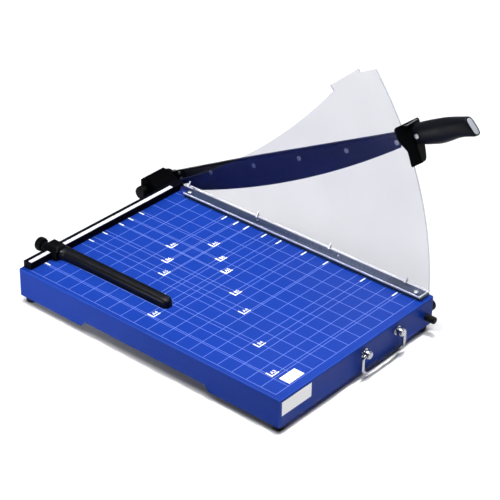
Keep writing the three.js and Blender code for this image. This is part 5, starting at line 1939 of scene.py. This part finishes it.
@dataclass
class CarryBail:
    """The wire handle on the front skirt and its two posts."""

    cad: CadParts
    bench: Bench
    centre_x: float = -121.0
    half_width: float = 46.0
    pin_reach: float = 32.5
    axis_y: float = -469.5
    axis_z: float = -15.0
    drop: float = 29.0
    rod_radius: float = 2.3
    rod_sides: int = 24
    top_bend: float = 5.0
    bottom_bend: float = 11.0
    bend_steps: int = 10
    post_spacing: float = 73.0
    post_sides: int = 40
    skirt_y: float = -463.5
    # The posts' outline: radius and distance in front of the skirt
    post_profile: tuple[Pair, ...] = (
        (7.0, 0.0), (7.0, 1.0), (6.4, 1.5), (4.8, 1.8), (4.8, 2.6), (5.7, 3.1), (6.0, 3.8), (6.0, 8.2),
        (5.6, 8.9), (4.3, 9.2), (4.3, 9.7), (5.0, 10.0), (5.0, 10.8), (4.2, 11.4), (2.4, 11.8),
        (0.0, 11.9),
    )

    def build(self) -> None:
        """Bend the wire and turn the posts."""
        self.wire()
        for side, way in (("left", -1), ("right", 1)):
            self.post(side, self.centre_x + way * self.post_spacing / 2)

    def post(self, side: str, x: float) -> None:
        """Turn one post: a foot against the skirt, a barrel round the wire and a domed nut."""
        centre = self.bench.at(x, self.skirt_y, self.axis_z)
        profile = [(radius, -reach) for radius, reach in self.post_profile]
        name = f"bail_post_{side}"
        post = object_from(lathe(profile, centre, Axis.Y, self.post_sides), f"{name}_turned")
        finished(post, "base", self.cad.slots[name], CHROME, [name])

    def path(self) -> bpy.types.Object:
        """Draw the wire's path as edges whose corners carry their bend's radius."""
        corners = [
            (self.pin_reach, 0.0, 0.0),
            (self.half_width, 0.0, self.top_bend),
            (self.half_width, -self.drop, self.bottom_bend),
            (-self.half_width, -self.drop, self.bottom_bend),
            (-self.half_width, 0.0, self.top_bend),
            (-self.pin_reach, 0.0, 0.0),
        ]
        places = [
            tuple(self.bench.at(self.centre_x + x, self.axis_y, self.axis_z + z))
            for x, z, _ in corners
        ]
        mesh = bpy.data.meshes.new("bail path")
        mesh.from_pydata(places, [(i, i + 1) for i in range(len(places) - 1)], [])
        bends = mesh.attributes.new("bend", "FLOAT", "POINT")
        bends.data.foreach_set("value", [radius * MM for _, _, radius in corners])
        return new_object("bail path", mesh)

    def wire(self) -> None:
        """Sweep the rod along its bent path."""
        path = self.path()
        pattern = Pattern("bail_wire", {"Path": path, "Rod Radius": self.rod_radius * MM})
        shape = pattern.node("GeometryNodeObjectInfo", {"Object": pattern.value("Path")})
        curve = pattern.node("GeometryNodeMeshToCurve", {"Mesh": shape.outputs["Geometry"]})
        radius = pattern.node("GeometryNodeInputNamedAttribute", {"Name": "bend"}, data_type="FLOAT")
        bent = pattern.node(
            "GeometryNodeFilletCurve",
            {"Curve": curve.outputs[0], "Count": self.bend_steps, "Radius": radius.outputs[0]},
            mode="POLY",
        )
        ring = pattern.node(
            "GeometryNodeCurvePrimitiveCircle",
            {"Resolution": self.rod_sides, "Radius": pattern.value("Rod Radius")},
        )
        rod = pattern.node(
            "GeometryNodeCurveToMesh",
            {"Curve": bent.outputs[0], "Profile Curve": ring.outputs[0], "Fill Caps": True},
        )
        smooth = pattern.node("GeometryNodeSetShadeSmooth", {"Geometry": rod.outputs[0]})
        wire = pattern.run(smooth.outputs[0], CHROME)
        bpy.data.objects.remove(path)
        finished(wire, "bail", "chrome", None, ["carry_bail"])


# Studio


@dataclass(frozen=True)
class SoftLight:
    """A rectangular soft light: places in bench millimetres, its size, and how its grid spreads."""

    name: str
    place: Point
    target: Point
    size: Pair
    watts: float
    spread_degrees: float = 180.0


@dataclass
class Studio:
    """The pale floor, the soft lights and the camera at the photograph's angle."""

    bench: Bench
    lens_mm: float = 132.54
    sensor_mm: float = 36.0
    camera_mm: Point = (-1803.8, -1658.7, 1367.9)
    right: Point = (0.652279, -0.757892, 0.011483)
    down: Point = (-0.385513, -0.344759, -0.855874)
    ahead: Point = (0.652619, 0.553842, -0.517057)
    clip_metres: Pair = (0.05, 200.0)
    floor_half_metres: float = 40.0
    lights: tuple[SoftLight, ...] = (
        SoftLight("ceiling panel", (0, -50, 3400), (0, -50, 0), (4000, 4000), 200.0),
        SoftLight("left panel", (-685, 0, 20), (0, 0, 20), (240, 140), 1.2),
        SoftLight("rear panel", (604, 109, 600), (-130, -430, 0), (300, 300), 0.06, 40.0),
        SoftLight("board panel", (-170, -240, 900), (-170, -240, 0), (345, 495), 0.59, 6.0),
    )
    # The room's brightness by height: 0 at the horizon and below it, and 1 straight up
    room: tuple[tuple[float, str], ...] = (
        (0.0, "#a0a0a4"),
        (0.12, "#3c3c42"),
        (0.7, "#3c3c42"),
        (0.95, "#64646a"),
    )

    def build(self) -> None:
        """Set up the floor, the world, the lights and the camera."""
        self.floor()
        self.world()
        for light in self.lights:
            self.hang(light)
        self.camera()

    def floor(self) -> None:
        """Lay the floor at desk height."""
        bm = bmesh.new()
        bmesh.ops.create_grid(bm, x_segments=1, y_segments=1, size=self.floor_half_metres)
        mesh = bpy.data.meshes.new("floor")
        bm.to_mesh(mesh)
        bm.free()
        floor = new_object("floor", mesh)
        floor.data.materials.append(PAPER.material())

    def world(self) -> None:
        """Surround the bench with a dim room, paler from the horizon down and overhead."""
        world = bpy.data.worlds.new("soft studio")
        world.use_nodes = True
        tree = world.node_tree
        where = add_node(tree, "ShaderNodeTexCoord")
        height = add_node(tree, "ShaderNodeSeparateXYZ", {"Vector": where.outputs["Generated"]})
        ramp = add_node(tree, "ShaderNodeValToRGB", {"Fac": height.outputs["Z"]})
        stops = ramp.color_ramp.elements
        # A new ramp comes with two stops; the first two take those.
        for index, (position, colour) in enumerate(self.room):
            stop = stops[index] if index < 2 else stops.new(position)
            stop.position = position
            stop.color = linear(colour)
        tree.links.new(ramp.outputs["Color"], tree.nodes["Background"].inputs["Color"])
        bpy.context.scene.world = world
        bpy.context.scene.view_settings.view_transform = "Standard"

    def hang(self, light: SoftLight) -> None:
        """Hang one soft light."""
        lamp = bpy.data.lights.new(light.name, "AREA")
        lamp.shape = "RECTANGLE"
        lamp.size, lamp.size_y = (side * MM for side in light.size)
        lamp.energy = light.watts
        lamp.spread = math.radians(light.spread_degrees)
        holder = bpy.data.objects.new(light.name, lamp)
        bpy.context.scene.collection.objects.link(holder)
        start, end = self.bench.at(*light.place), self.bench.at(*light.target)
        holder.location = start
        holder.rotation_mode = "QUATERNION"
        holder.rotation_quaternion = (end - start).to_track_quat("-Z", "Y")

    def camera(self) -> None:
        """Set the camera where the photograph was taken."""
        lens = bpy.data.cameras.new("photo camera")
        lens.lens = self.lens_mm
        lens.sensor_width = self.sensor_mm
        lens.sensor_fit = "HORIZONTAL"
        lens.clip_start, lens.clip_end = self.clip_metres
        holder = bpy.data.objects.new("photo camera", lens)
        bpy.context.scene.collection.objects.link(holder)
        turn = Matrix((self.right, [-d for d in self.down], [-a for a in self.ahead])).transposed()
        holder.matrix_world = Matrix.Translation(self.bench.at(*self.camera_mm)) @ turn.to_4x4()
        bpy.context.scene.camera = holder


def main() -> None:
    """Load the frame, dress every sub-assembly and set up the studio."""
    logging.basicConfig(level=logging.INFO, format="%(message)s")
    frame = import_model()
    bench = Bench.from_frame()
    cad = CadParts(frame["nodes"])
    cad.dress_all()
    Tray(cad, bench).build()
    BoardPrint(bench).build()
    Ruler(cad, bench).build()
    PivotBlock(cad).build()
    CuttingEdge(cad, bench).build()
    line = ArmLine(bench)
    BladeArm(cad, line).build()
    HandGuard(cad, line).build()
    PaperStop(cad, bench).build()
    CarryBail(cad, bench).build()
    Studio(bench).build()


if __name__ == "__main__":
    main()
